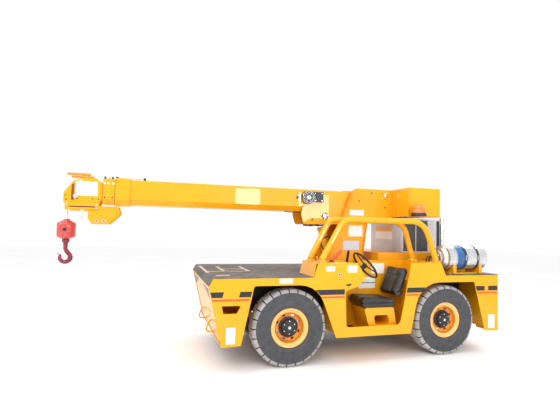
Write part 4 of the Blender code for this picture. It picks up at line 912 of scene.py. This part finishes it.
# ---- tower, hood and tank --------------------------------------------------------------------------
def tower():
    low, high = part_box("cooling_tower")
    x0, x1 = low[0] - AXLE_X, high[0] - AXLE_X
    y0, y1, z0, z1 = low[1], high[1], low[2], high[2]
    ribs = [(block((x1, x1 + 0.010), (y - 0.006, y + 0.006), (z0 + 0.01, z1 - 0.01)), GREY)
            for y in [0.072 + 0.026 * k for k in range(10)]]
    ribs += [(block((x1, x1 + 0.004), (y0 + 0.01, 0.062), (z, z + 0.006)), GREY)
             for z in (1.375, 1.455, 1.775)]
    put("tower_front_ribs", "chassis", ribs, bevel=0.001)
    sign = [(prism(plate((-0.448, 1.521), (0.050, 1.718)), "X", x1, x1 + 0.0012), LABEL),
            (prism(plate((-0.448, 1.640), (0.050, 1.718), 0.004), "X", x1 + 0.0012, x1 + 0.0018), YELLOW)]
    put("tower_sign", "chassis", sign)
    for word, face, side in (("left", y1, 1), ("right", y0, -1)):
        parts = [(block((-2.350, -1.930), (face, face + side * 0.001), (z0 + 0.015, z1 - 0.020)), GRILLE)]
        parts += [(block((-2.352, -1.928), (face + side * 0.001, face + side * 0.0045), (z, z + 0.0035)),
                   GRILLE) for z in [z0 + 0.022 + 0.0115 * k for k in range(40)]]
        parts += [(block((a, b), (face, face + side * 0.006), (z0 + 0.006, z1 - 0.006)), GREY)
                  for a, b in ((-1.928, -1.908), (-2.366, -2.350), (-2.150, -2.138))]
        parts += [(block((-2.564, -2.512), (face, face + side * 0.0015), (z0 + 0.02, z1 - 0.02)), BLACK)]
        parts += [(bolt((-2.43, face, z), (0, side, 0), 0.006, 0.005), STEEL) for z in (1.40, 1.58, 1.76)]
        put(f"tower_mesh_{word}", "chassis", parts)
    rear = [(block((x0 - 0.001, x0), (y0 + 0.04, y1 - 0.04), (z0 + 0.04, z1 - 0.05)), GRILLE)]
    rear += [(block((x0 - 0.006, x0 - 0.001), (y0 + 0.04, y1 - 0.04), (z, z + 0.004)), GREY)
             for z in [z0 + 0.052 + 0.016 * k for k in range(25)]]
    put("tower_rear_louvres", "chassis", rear)
    top = [(block((x0 + 0.004, x1 - 0.004), (y0 + 0.004, y1 - 0.004), (z1, z1 + 0.004)), GREY),
           (turned([(0, 0), (0.030, 0), (0.032, 0.004), (0.030, 0.009), (0, 0.009)],
                   (-2.46, -0.45, z1 + 0.003), (0, 0, 1), 24), BLACK)]
    put("tower_cap", "chassis", top, bevel=0.001)


def hood():
    """Louvres, hinge knuckles and latches of the engine cover, and the collar of its exhaust."""
    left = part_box("engine_housing")[1][1]
    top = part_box("engine_housing")[1][2]
    slats = []
    for start in (-2.84, -2.44):
        for k in range(9):
            x = start + 0.034 * k
            slats.append((prism([(x, left), (x + 0.022, left), (x + 0.020, left + 0.008)], "Z", 1.12,
                                1.27), YELLOW))
    put("hood_louvres", "chassis", slats)
    hinges = [(rod((x - 0.05, -0.622, top + 0.004), (x + 0.05, -0.622, top + 0.004), 0.006, 12), BLACK)
              for x in (-2.78, -2.22, -1.66)]
    put("hood_hinges", "chassis", hinges)
    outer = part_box("engine_hood")[0][1]
    lid = []
    for x in (-2.60, -1.83):
        lid += [(block((x - 0.030, x + 0.030), (outer, outer - 0.004), (1.135, 1.175)), BLACK),
                (block((x - 0.010, x + 0.010), (outer - 0.004, outer - 0.010), (1.140, 1.170)), STEEL)]
    for start in (-2.45, -2.15):
        for k in range(7):
            x = start + 0.034 * k
            lid.append((prism([(x, outer), (x + 0.022, outer), (x + 0.020, outer - 0.008)], "Z", 1.17,
                              1.28), YELLOW))
    put("lid_latches", "engine_hood", lid)
    x, y = middle("exhaust_stack", 0) - AXLE_X, middle("exhaust_stack", 1)
    collar = [(turned([(0.036, 0), (0.060, 0), (0.060, 0.006), (0.042, 0.012), (0.042, 0.035),
                       (0.036, 0.035)], (x, y, top), (0, 0, 1), 40), IRON)]
    collar += [(bolt((x + 0.051 * cos(a), y + 0.051 * sin(a), top + 0.006), (0, 0, 1), 0.005, 0.005), STEEL)
               for a in (0.4, 2.0, 3.5, 5.1)]
    put("exhaust_collar", "chassis", collar)


def gas_tank():
    """Bands, straps and valve of the gas tank."""
    low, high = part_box("lpg_tank")
    y, z, radius = (low[1] + high[1]) / 2, (low[2] + high[2]) / 2, (high[2] - low[2]) / 2
    front = high[0] - AXLE_X

    def band(x, width, thick, look, inner=0.0):
        profile = [(radius + inner, -width / 2), (radius + thick, -width / 2), (radius + thick, width / 2),
                   (radius + inner, width / 2)]
        return turned(profile, (x, y, z), (1, 0, 0), 96), look

    parts = [band(-2.477, 0.175, 0.0008, BLUE), band(-2.331, 0.010, 0.0030, STEEL),
             band(-2.396, 0.008, 0.0030, STEEL), band(-2.262, 0.030, 0.0012, BRASS)]
    put("tank_bands", "chassis", parts)
    straps = [band(x, 0.034, 0.0035, BLACK) for x in (-2.535, -2.745)]
    for x in (-2.535, -2.745):
        straps += [(block((x - 0.014, x + 0.014), (y + radius * 0.66, y + radius * 0.66 + 0.030),
                          (z + radius * 0.76, z + radius * 0.76 + 0.020)), STEEL),
                   (rod((x, y + radius + 0.004, z - 0.030), (x, y + radius + 0.004, z + 0.030), 0.006, 12),
                    STEEL), (bolt((x, y + radius + 0.004, z + 0.030), (0, 0, 1), 0.010, 0.008), STEEL)]
    put("tank_straps", "chassis", straps, bevel=0.0008)
    valve = [(rod((front - 0.012, y, z), (front + 0.018, y, z), 0.026, 24, 0.003), BRASS),
             (rod((front + 0.016, y, z), (front + 0.040, y, z), 0.016, 6), BRASS),
             (turned([(0, 0), (0.030, 0), (0.033, 0.004), (0.033, 0.012), (0.028, 0.016), (0, 0.016)],
                     (front + 0.038, y, z), (1, 0, 0), 12), RED),
             (rod((front + 0.004, y - 0.055, z + 0.005), (front + 0.004, y - 0.020, z + 0.003), 0.011, 6),
              BRASS), (ring((front - 0.004, y, z), 0.0965, 0.006, (1, 0, 0), 48, 10), ALU),
             (turned([(0, 0), (0.022, 0), (0.022, 0.014), (0, 0.014)],
                     (front - 0.012, y + 0.055, z + 0.035), (1, 0, 0), 24), BRASS),
             (turned([(0, 0), (0.018, 0), (0.018, 0.001), (0, 0.001)],
                     (front + 0.002, y + 0.055, z + 0.035), (1, 0, 0), 24), DIAL)]
    put("tank_valve", "chassis", valve)
    hose = smooth_path([(front + 0.004, y - 0.055, z + 0.005), (front + 0.010, y - 0.13, z - 0.01),
                        (front - 0.03, y - 0.21, z - 0.09), (front - 0.09, y - 0.275, z - 0.12),
                        (front - 0.14, y - 0.330, z - 0.12)], 9)
    put("gas_hose", "chassis", [(tube(hose, 0.009, 12), HOSE)])


# ---- cab --------------------------------------------------------------------------------------------
WALL_Y = 0.4825         # inner wall of the cab


def controls():
    top = CAB_TOP + 0.0005
    red = [(rod((-0.590, 0.750, top + 0.010), (-0.725, 0.750, 1.372), 0.019, 20, 0.004), STRIPE_RED),
           (turned([(0, 0), (0.034, 0), (0.028, 0.010), (0.022, 0.018), (0, 0.018)], (-0.590, 0.750, top),
                   (0, 0, 1), 24), BLACK)]
    put("red_grip", "chassis", red)
    rings = [(0.0, 0.0), (0.017, 0.0)]
    for k in range(9):
        rings += [(0.020, 0.008 + 0.015 * k), (0.013, 0.0155 + 0.015 * k)]
    rings += [(0.012, 0.150), (0.0, 0.150)]
    put("ribbed_boot", "chassis", [(turned(rings, (-0.785, 0.800, top), (-0.15, 0, 1), 24), BLACK)])
    levers = []
    for x, y, tall in ((-0.436, 0.70, 0.080), (-0.495, 0.76, 0.060), (-0.470, 0.86, 0.070)):
        end = Vector((x + 0.035, y, top + tall))
        levers += [(rod((x, y, top), end, 0.005, 12), STEEL),
                   (turned([(0, -0.012), (0.010, -0.009), (0.013, 0), (0.010, 0.009), (0, 0.012)], end,
                           (0.4, 0, 1), 20), KNOB),
                   (turned([(0, 0), (0.016, 0), (0.009, 0.012), (0, 0.012)], (x, y, top), (0, 0, 1), 16),
                    BLACK)]
    put("crane_levers", "chassis", levers)
    put("cowl_strip", "chassis", [(block((-0.705, -0.534), (0.915, 0.948), (top, top + 0.002)), STEEL)])
    face = (Vector((-0.850, 0, 1.223)), Vector((-0.955, 0, 1.045)))
    down = (face[1] - face[0]).normalized()
    out = Vector((down.z, 0, -down.x))
    dials = []
    for y, step in ((0.560, 0.05), (0.640, 0.05), (0.855, 0.05), (0.560, 0.13), (0.640, 0.13)):
        spot = face[0] + down * step + Vector((0, y, 0))
        dials += [(turned([(0, 0), (0.030, 0), (0.030, 0.006), (0.026, 0.008), (0.026, 0.004), (0, 0.004)],
                          spot, out, 32), BLACK),
                  (turned([(0, 0), (0.025, 0), (0.025, 0.0045), (0, 0.0045)], spot, out, 32), DIAL)]
    for y in (0.78, 0.82, 0.86, 0.90):
        spot = face[0] + down * 0.13 + Vector((0, y, 0))
        dials.append((rod(spot, spot + out * 0.022, 0.008, 16, 0.002), KNOB))
    put("dash_dials", "chassis", dials)
    column = Vector((cos(radians(39.2)), 0, -sin(radians(39.2))))
    hub = Vector((middle("steering_wheel", 0) - AXLE_X, middle("steering_wheel", 1),
                  middle("steering_wheel", 2)))
    put("horn_button", "steering_wheel",
        [(turned([(0, 0), (0.024, 0), (0.024, 0.005), (0.018, 0.010), (0, 0.011)], hub - column * 0.012,
                 -column, 28), YELLOW)])


def cab_inside():
    wall = [(prism(plate((-1.310, 1.050), (-1.512, 1.192)), "Y", WALL_Y, WALL_Y + 0.0015), LABEL),
            (prism(plate((-1.120, 0.850), (-1.370, 1.002)), "Y", WALL_Y, WALL_Y + 0.0012), LABEL),
            (prism(plate((-1.120, 0.918), (-1.370, 0.928), 0.002), "Y", WALL_Y + 0.0012, WALL_Y + 0.0017),
             STRIPE)]
    put("cab_wall_plates", "chassis", wall)
    floor = 0.3573
    mat = [(block((-1.000, -0.640), (0.500, 0.940), (floor, floor + 0.004)), BLACK)]
    mat += [(block((-0.985, -0.655), (y - 0.004, y + 0.004), (floor + 0.004, floor + 0.007)), BLACK)
            for y in [0.520 + 0.026 * k for k in range(16)]]
    put("floor_mat", "chassis", mat)
    pedals = []
    for y, tall in ((0.850, 0.50), (0.690, 0.52), (0.560, 0.50)):
        pad = rounded([(-0.715, tall, 0.006), (-0.735, tall - 0.012, 0.006), (-0.700, tall - 0.10, 0.006),
                       (-0.680, tall - 0.09, 0.006)], 3)
        pedals += [(prism(pad, "Y", y - 0.035, y + 0.035), BLACK),
                   (rod((-0.690, y, tall - 0.05), (-0.625, y, tall + 0.02), 0.009, 12), STEEL)]
    put("pedals", "chassis", pedals, bevel=0.001)
    handle = smooth_path([(-2.092, 0.80, 1.236), (-2.092, 0.80, 1.275), (-2.070, 0.80, 1.300),
                          (-2.000, 0.80, 1.300), (-1.978, 0.80, 1.275), (-1.978, 0.80, 1.236)], 5)
    put("shelf_handle", "chassis", [(tube(handle, 0.008, 12), BLACK)])


def guard_bolts():
    parts = []
    for y, xs in ((0.900, (-0.400, -2.055)), (0.600, (-0.360, -1.888))):
        for x in xs:
            for dx, dy in ((1, 1), (1, -1), (-1, 1), (-1, -1)):
                parts.append((bolt((x + dx * 0.036, y + dy * 0.040, CAB_TOP + 0.0123), (0, 0, 1), 0.007,
                                   0.007), STEEL))
            parts.append((turned([(0.038, 0), (0.044, 0), (0.038, 0.006)], (x, y, CAB_TOP + 0.0123),
                                 (0, 0, 1), 32), YELLOW))
    put("guard_foot_bolts", "chassis", parts)


def lamps():
    """Two round tail lamps in black housings."""
    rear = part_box("rear_outrigger_box")[0][0] - AXLE_X
    for word, side in SIDES:
        y = side * 0.82
        parts = [(turned([(0, 0), (0.052, 0), (0.055, 0.004), (0.053, 0.016), (0.046, 0.018), (0, 0.018)],
                         (rear + 0.0185, y, 0.985), (-1, 0, 0), 40), BLACK),
                 (turned([(0, 0), (0.044, 0), (0.044, 0.018), (0.038, 0.0225), (0, 0.024)],
                         (rear + 0.0185, y, 0.985), (-1, 0, 0), 40), GLASS_RED)]
        put(f"tail_lamp_{word}", "chassis", parts)


# ---- seat ---------------------------------------------------------------------------------------------
def cushion(name, node, body, crown, seams):
    """A stuffed pad from a CAD solid: remeshed, swollen as cloth, sewn and smoothed."""
    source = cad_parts[node]
    low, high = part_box(node)
    mesh = source.data.copy()
    mesh.transform(source.matrix_world)
    centre = (Vector(low) + Vector(high)) / 2
    for vert in mesh.vertices:
        vert.co = centre + (vert.co - centre) * 0.975
    pad = bpy.data.objects.new(name, mesh)
    scene.collection.objects.link(pad)
    bpy.context.view_layer.objects.active = pad
    remesh = pad.modifiers.new("remesh", "REMESH")
    remesh.mode = "VOXEL"
    remesh.voxel_size = 0.007
    bpy.ops.object.modifier_apply(modifier=remesh.name)
    start = [v.co.copy() for v in pad.data.vertices]
    cloth = pad.modifiers.new("cloth", "CLOTH")
    cloth.settings.use_pressure = True
    cloth.settings.uniform_pressure_force = 4.0
    cloth.settings.effector_weights.gravity = 0.0
    for step in range(1, 21):
        scene.frame_set(step)
    bpy.ops.object.modifier_apply(modifier=cloth.name)
    scene.frame_set(1)
    for vert, old in zip(pad.data.vertices, start):
        move = vert.co - old
        if move.length > crown:
            vert.co = old + move.normalized() * crown
    for vert in pad.data.vertices:
        vert.co = seams(vert.co.copy(), centre)
    for vert in pad.data.vertices:
        for axis in range(3):
            vert.co[axis] = min(max(vert.co[axis], low[axis] - 0.004), high[axis] + 0.004)
    smooth = pad.modifiers.new("smooth", "SUBSURF")
    smooth.levels = smooth.render_levels = 1
    pad.data.materials.clear()
    pad.data.materials.append(VINYL)
    pad.data.shade_smooth()
    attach(pad, body)
    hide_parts(node)
    return pad


def groove(distance, width, depth):
    """How far a sewn channel pulls the vinyl in, at a distance from its line."""
    return depth * max(0.0, 1 - (distance / width) ** 2) ** 2


def seat():
    def base_seams(spot, centre):
        side = spot.y - centre.y
        pull = groove(abs(abs(side) - 0.120), 0.018, 0.010) + groove(abs(side), 0.014, 0.005)
        pull += groove(abs(spot.x - centre.x - 0.120), 0.016, 0.006) if abs(side) < 0.12 else 0.0
        if spot.z > centre.z:
            spot.z -= pull
            spot.z -= 0.010 * max(0.0, 1 - (side / 0.12) ** 2)
        return spot

    def back_seams(spot, centre):
        side = spot.y - centre.y
        facing = Vector((0.93, 0, 0.37))
        depth = (spot - centre).dot(facing)
        pull = (groove(abs(abs(side) - 0.115), 0.018, 0.012)
                + groove(abs(spot.z - centre.z - 0.090), 0.016, 0.006))
        if depth > 0:
            spot -= facing * (pull + 0.012 * max(0.0, 1 - (side / 0.115) ** 2))
        return spot

    cushion("seat_pad", "seat_cushion", "chassis", 0.010, base_seams)
    cushion("seat_back_pad", "seat_back", "chassis", 0.010, back_seams)
    low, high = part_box("seat_cushion")
    rim = rounded([(low[0] + 0.012, low[1] + 0.012, 0.03), (high[0] - 0.014, low[1] + 0.012, 0.03),
                   (high[0] - 0.014, high[1] - 0.012, 0.03), (low[0] + 0.012, high[1] - 0.012, 0.03)], 6)
    z = (low[2] + high[2]) / 2 - 0.008
    edge = [(x + (0.012 if x > (low[0] + high[0]) / 2 else -0.010), y + (0.010 if y > SEAT_Y else -0.010), z)
            for x, y in rim]
    put("seat_piping", "chassis", [(tube(edge, 0.004, 8, closed=True), KNOB)], offset=False)
    slides = [(block((-1.40, -1.02), (y - 0.014, y + 0.014), (0.6555, 0.6645)), STEEL)
              for y in (0.600, 0.830)]
    put("seat_slides", "chassis", slides, bevel=0.001)


# ---- hook ---------------------------------------------------------------------------------------------
def hook_parts():
    x, top, low = middle("hook_block", 0) - AXLE_X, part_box("hook_block")[1][2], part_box("hook_block")[0][2]
    tall = top - low
    weight = [(0, 0.0), (0.052, 0.0), (0.060, 0.003), (0.101, 0.026), (0.105, 0.034), (0.105, 0.052),
              (0.1035, 0.054), (0.1035, 0.060), (0.105, 0.062), (0.105, tall - 0.056),
              (0.102, tall - 0.047), (0.060, tall - 0.022), (0.052, tall - 0.018), (0.036, tall - 0.010),
              (0.034, tall), (0, tall)]
    body = put("weight", "hook_block", [(turned(weight, (x, 0, low), (0, 0, 1), 72), RED)])
    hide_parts("hook_block")
    caps = [(bolt((x, side * 0.1035, low + 0.115), (0, side, 0), 0.016, 0.006), IRON) for side in (1, -1)]
    caps += [(turned([(0, 0), (0.018, 0), (0.018, 0.012), (0.012, 0.020), (0.0085, 0.020), (0, 0.020)],
                     (x, 0, top - 0.001), (0, 0, 1), 24), STEEL)]
    put("weight_bolts", "hook_block", caps)

    high = low - 0.001
    shank = [(0, 0), (0.024, 0), (0.025, 0.070), (0.033, 0.080), (0.040, 0.086), (0.042, 0.096),
             (0.042, 0.118), (0.038, 0.124), (0, 0.124)]
    parts = [(turned(shank, (x, 0, high - 0.124), (0, 0, 1), 40), CRIMSON)]
    centre, bend = Vector((x, 0, 1.238)), 0.058
    path = [Vector((x, 0, 1.350)), Vector((x - 0.006, 0, 1.325)), Vector((x - 0.026, 0, 1.297))]
    path += [centre + Vector((bend * cos(a), 0, bend * sin(a)))
             for a in [radians(150 + 12 * k) for k in range(21)]]
    path += [Vector((x + bend + 0.010, 0, 1.268)), Vector((x + bend + 0.022, 0, 1.290))]
    count = len(path)
    radii = [0.023 + 0.005 * sin(pi * min(1.0, k / (count * 0.55))) for k in range(count)]
    for k in range(count - 7, count):
        radii[k] = 0.023 - 0.0165 * ((k - count + 8) / 7) ** 1.3
    parts.append((tube(path, radii, 20), CRIMSON))
    hook_body = put("forged_hook", "hook", parts, smooth=60)
    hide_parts("hook")
    latch = [(prism(rounded([(x - 0.012, 1.330, 0.004), (x + 0.004, 1.336, 0.004), (x + 0.078, 1.272, 0.004),
                             (x + 0.068, 1.264, 0.004)], 3), "Y", -0.013, 0.013), PALE),
             (rod((x - 0.004, -0.020, 1.330), (x - 0.004, 0.020, 1.330), 0.007, 14), STEEL)]
    put("hook_latch", "hook", latch, bevel=0.001)

    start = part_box("hoist_rope")[1][2]
    end = top + 0.016
    rope_x = middle("hoist_rope", 0) - AXLE_X
    strands = []
    steps = 56
    for k in range(6):
        spiral = []
        for i in range(steps + 1):
            turn = 2 * pi * (k / 6 + (start - end) / 0.055 * i / steps)
            z = start + (end - start) * i / steps
            spiral.append((rope_x + 0.0050 * cos(turn), 0.0050 * sin(turn), z))
        strands.append((tube(spiral, 0.0029, 8), STEEL))
    strands.append((rod((rope_x, 0, start), (rope_x, 0, end), 0.0035, 8), STEEL))
    rope = put("wire_rope", "", strands, smooth=70)
    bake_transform(rope)
    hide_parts("hoist_rope")


boom_labels()
boom_top()
head_details()
reel()
bracket()
mast()
winch_details()
tower()
hood()
gas_tank()
controls()
cab_inside()
guard_bolts()
lamps()
seat()
hook_parts()


# ---- camera, floor and light ------------------------------------------------------------------
def camera():
    yaw, pitch, roll = radians(17.892), radians(3.018), radians(1.254)
    ahead = Vector((-sin(yaw) * cos(pitch), -cos(yaw) * cos(pitch), sin(pitch)))
    across = ahead.cross(Vector((0, 0, 1))).normalized()
    up = across.cross(ahead)
    right = cos(roll) * across + sin(roll) * up
    above = -sin(roll) * across + cos(roll) * up
    data = bpy.data.cameras.new("camera")
    data.sensor_width = 36.0
    data.lens = 27.036
    data.shift_x = -0.0186
    data.shift_y = -0.0032
    made = bpy.data.objects.new("camera", data)
    scene.collection.objects.link(made)
    turn = Matrix((right, above, -ahead)).transposed().to_4x4()
    made.matrix_world = Matrix.Translation((AXLE_X + 1.582, 5.728, 1.622)) @ turn
    scene.camera = made


def lamp(name, spot, target, size, power):
    data = bpy.data.lights.new(name, "AREA")
    data.shape = "RECTANGLE"
    data.size, data.size_y = size
    data.energy = power
    made = bpy.data.objects.new(name, data)
    scene.collection.objects.link(made)
    made.location = spot
    made.rotation_euler = (Vector(target) - Vector(spot)).to_track_quat("-Z", "Y").to_euler()


def studio():
    world = bpy.data.worlds.new("studio")
    world.use_nodes = True
    world.node_tree.nodes["Background"].inputs["Color"].default_value = (1.0, 1.0, 1.0, 1)
    world.node_tree.nodes["Background"].inputs["Strength"].default_value = 1.0
    scene.world = world
    scene.view_settings.view_transform = "Standard"
    bpy.ops.mesh.primitive_plane_add(size=60, location=(0, 0, -0.001))
    floor = bpy.context.object
    floor.name = "studio_floor"
    floor.data.materials.append(surface("pale_floor", (0.97, 0.97, 0.97), (0.95, 0.95, 0.95), 0.6,
                                        grain=0.4, fine=40.0))
    lamp("key", (3.5, 6.5, 6.0), (0, 0, 1.0), (5.0, 3.0), 210)
    lamp("front", (7.5, 2.0, 4.0), (0.5, 0, 1.2), (3.0, 3.0), 90)
    lamp("top", (-0.5, 0.5, 7.0), (-0.5, 0, 0), (7.0, 4.0), 170)
    lamp("softbox_boom", (AXLE_X - 0.90, 6.28, 2.52), (AXLE_X + 0.4, 0.19, 2.05), (0.70, 0.50), 34)
    lamp("softbox_mast", (AXLE_X - 2.90, 6.30, 2.30), (AXLE_X - 0.9, 0.19, 2.0), (0.90, 0.80), 52)
    lamp("back", (-6.0, -3.0, 5.0), (-0.5, 0, 1.2), (4.0, 3.0), 100)


camera()
studio()
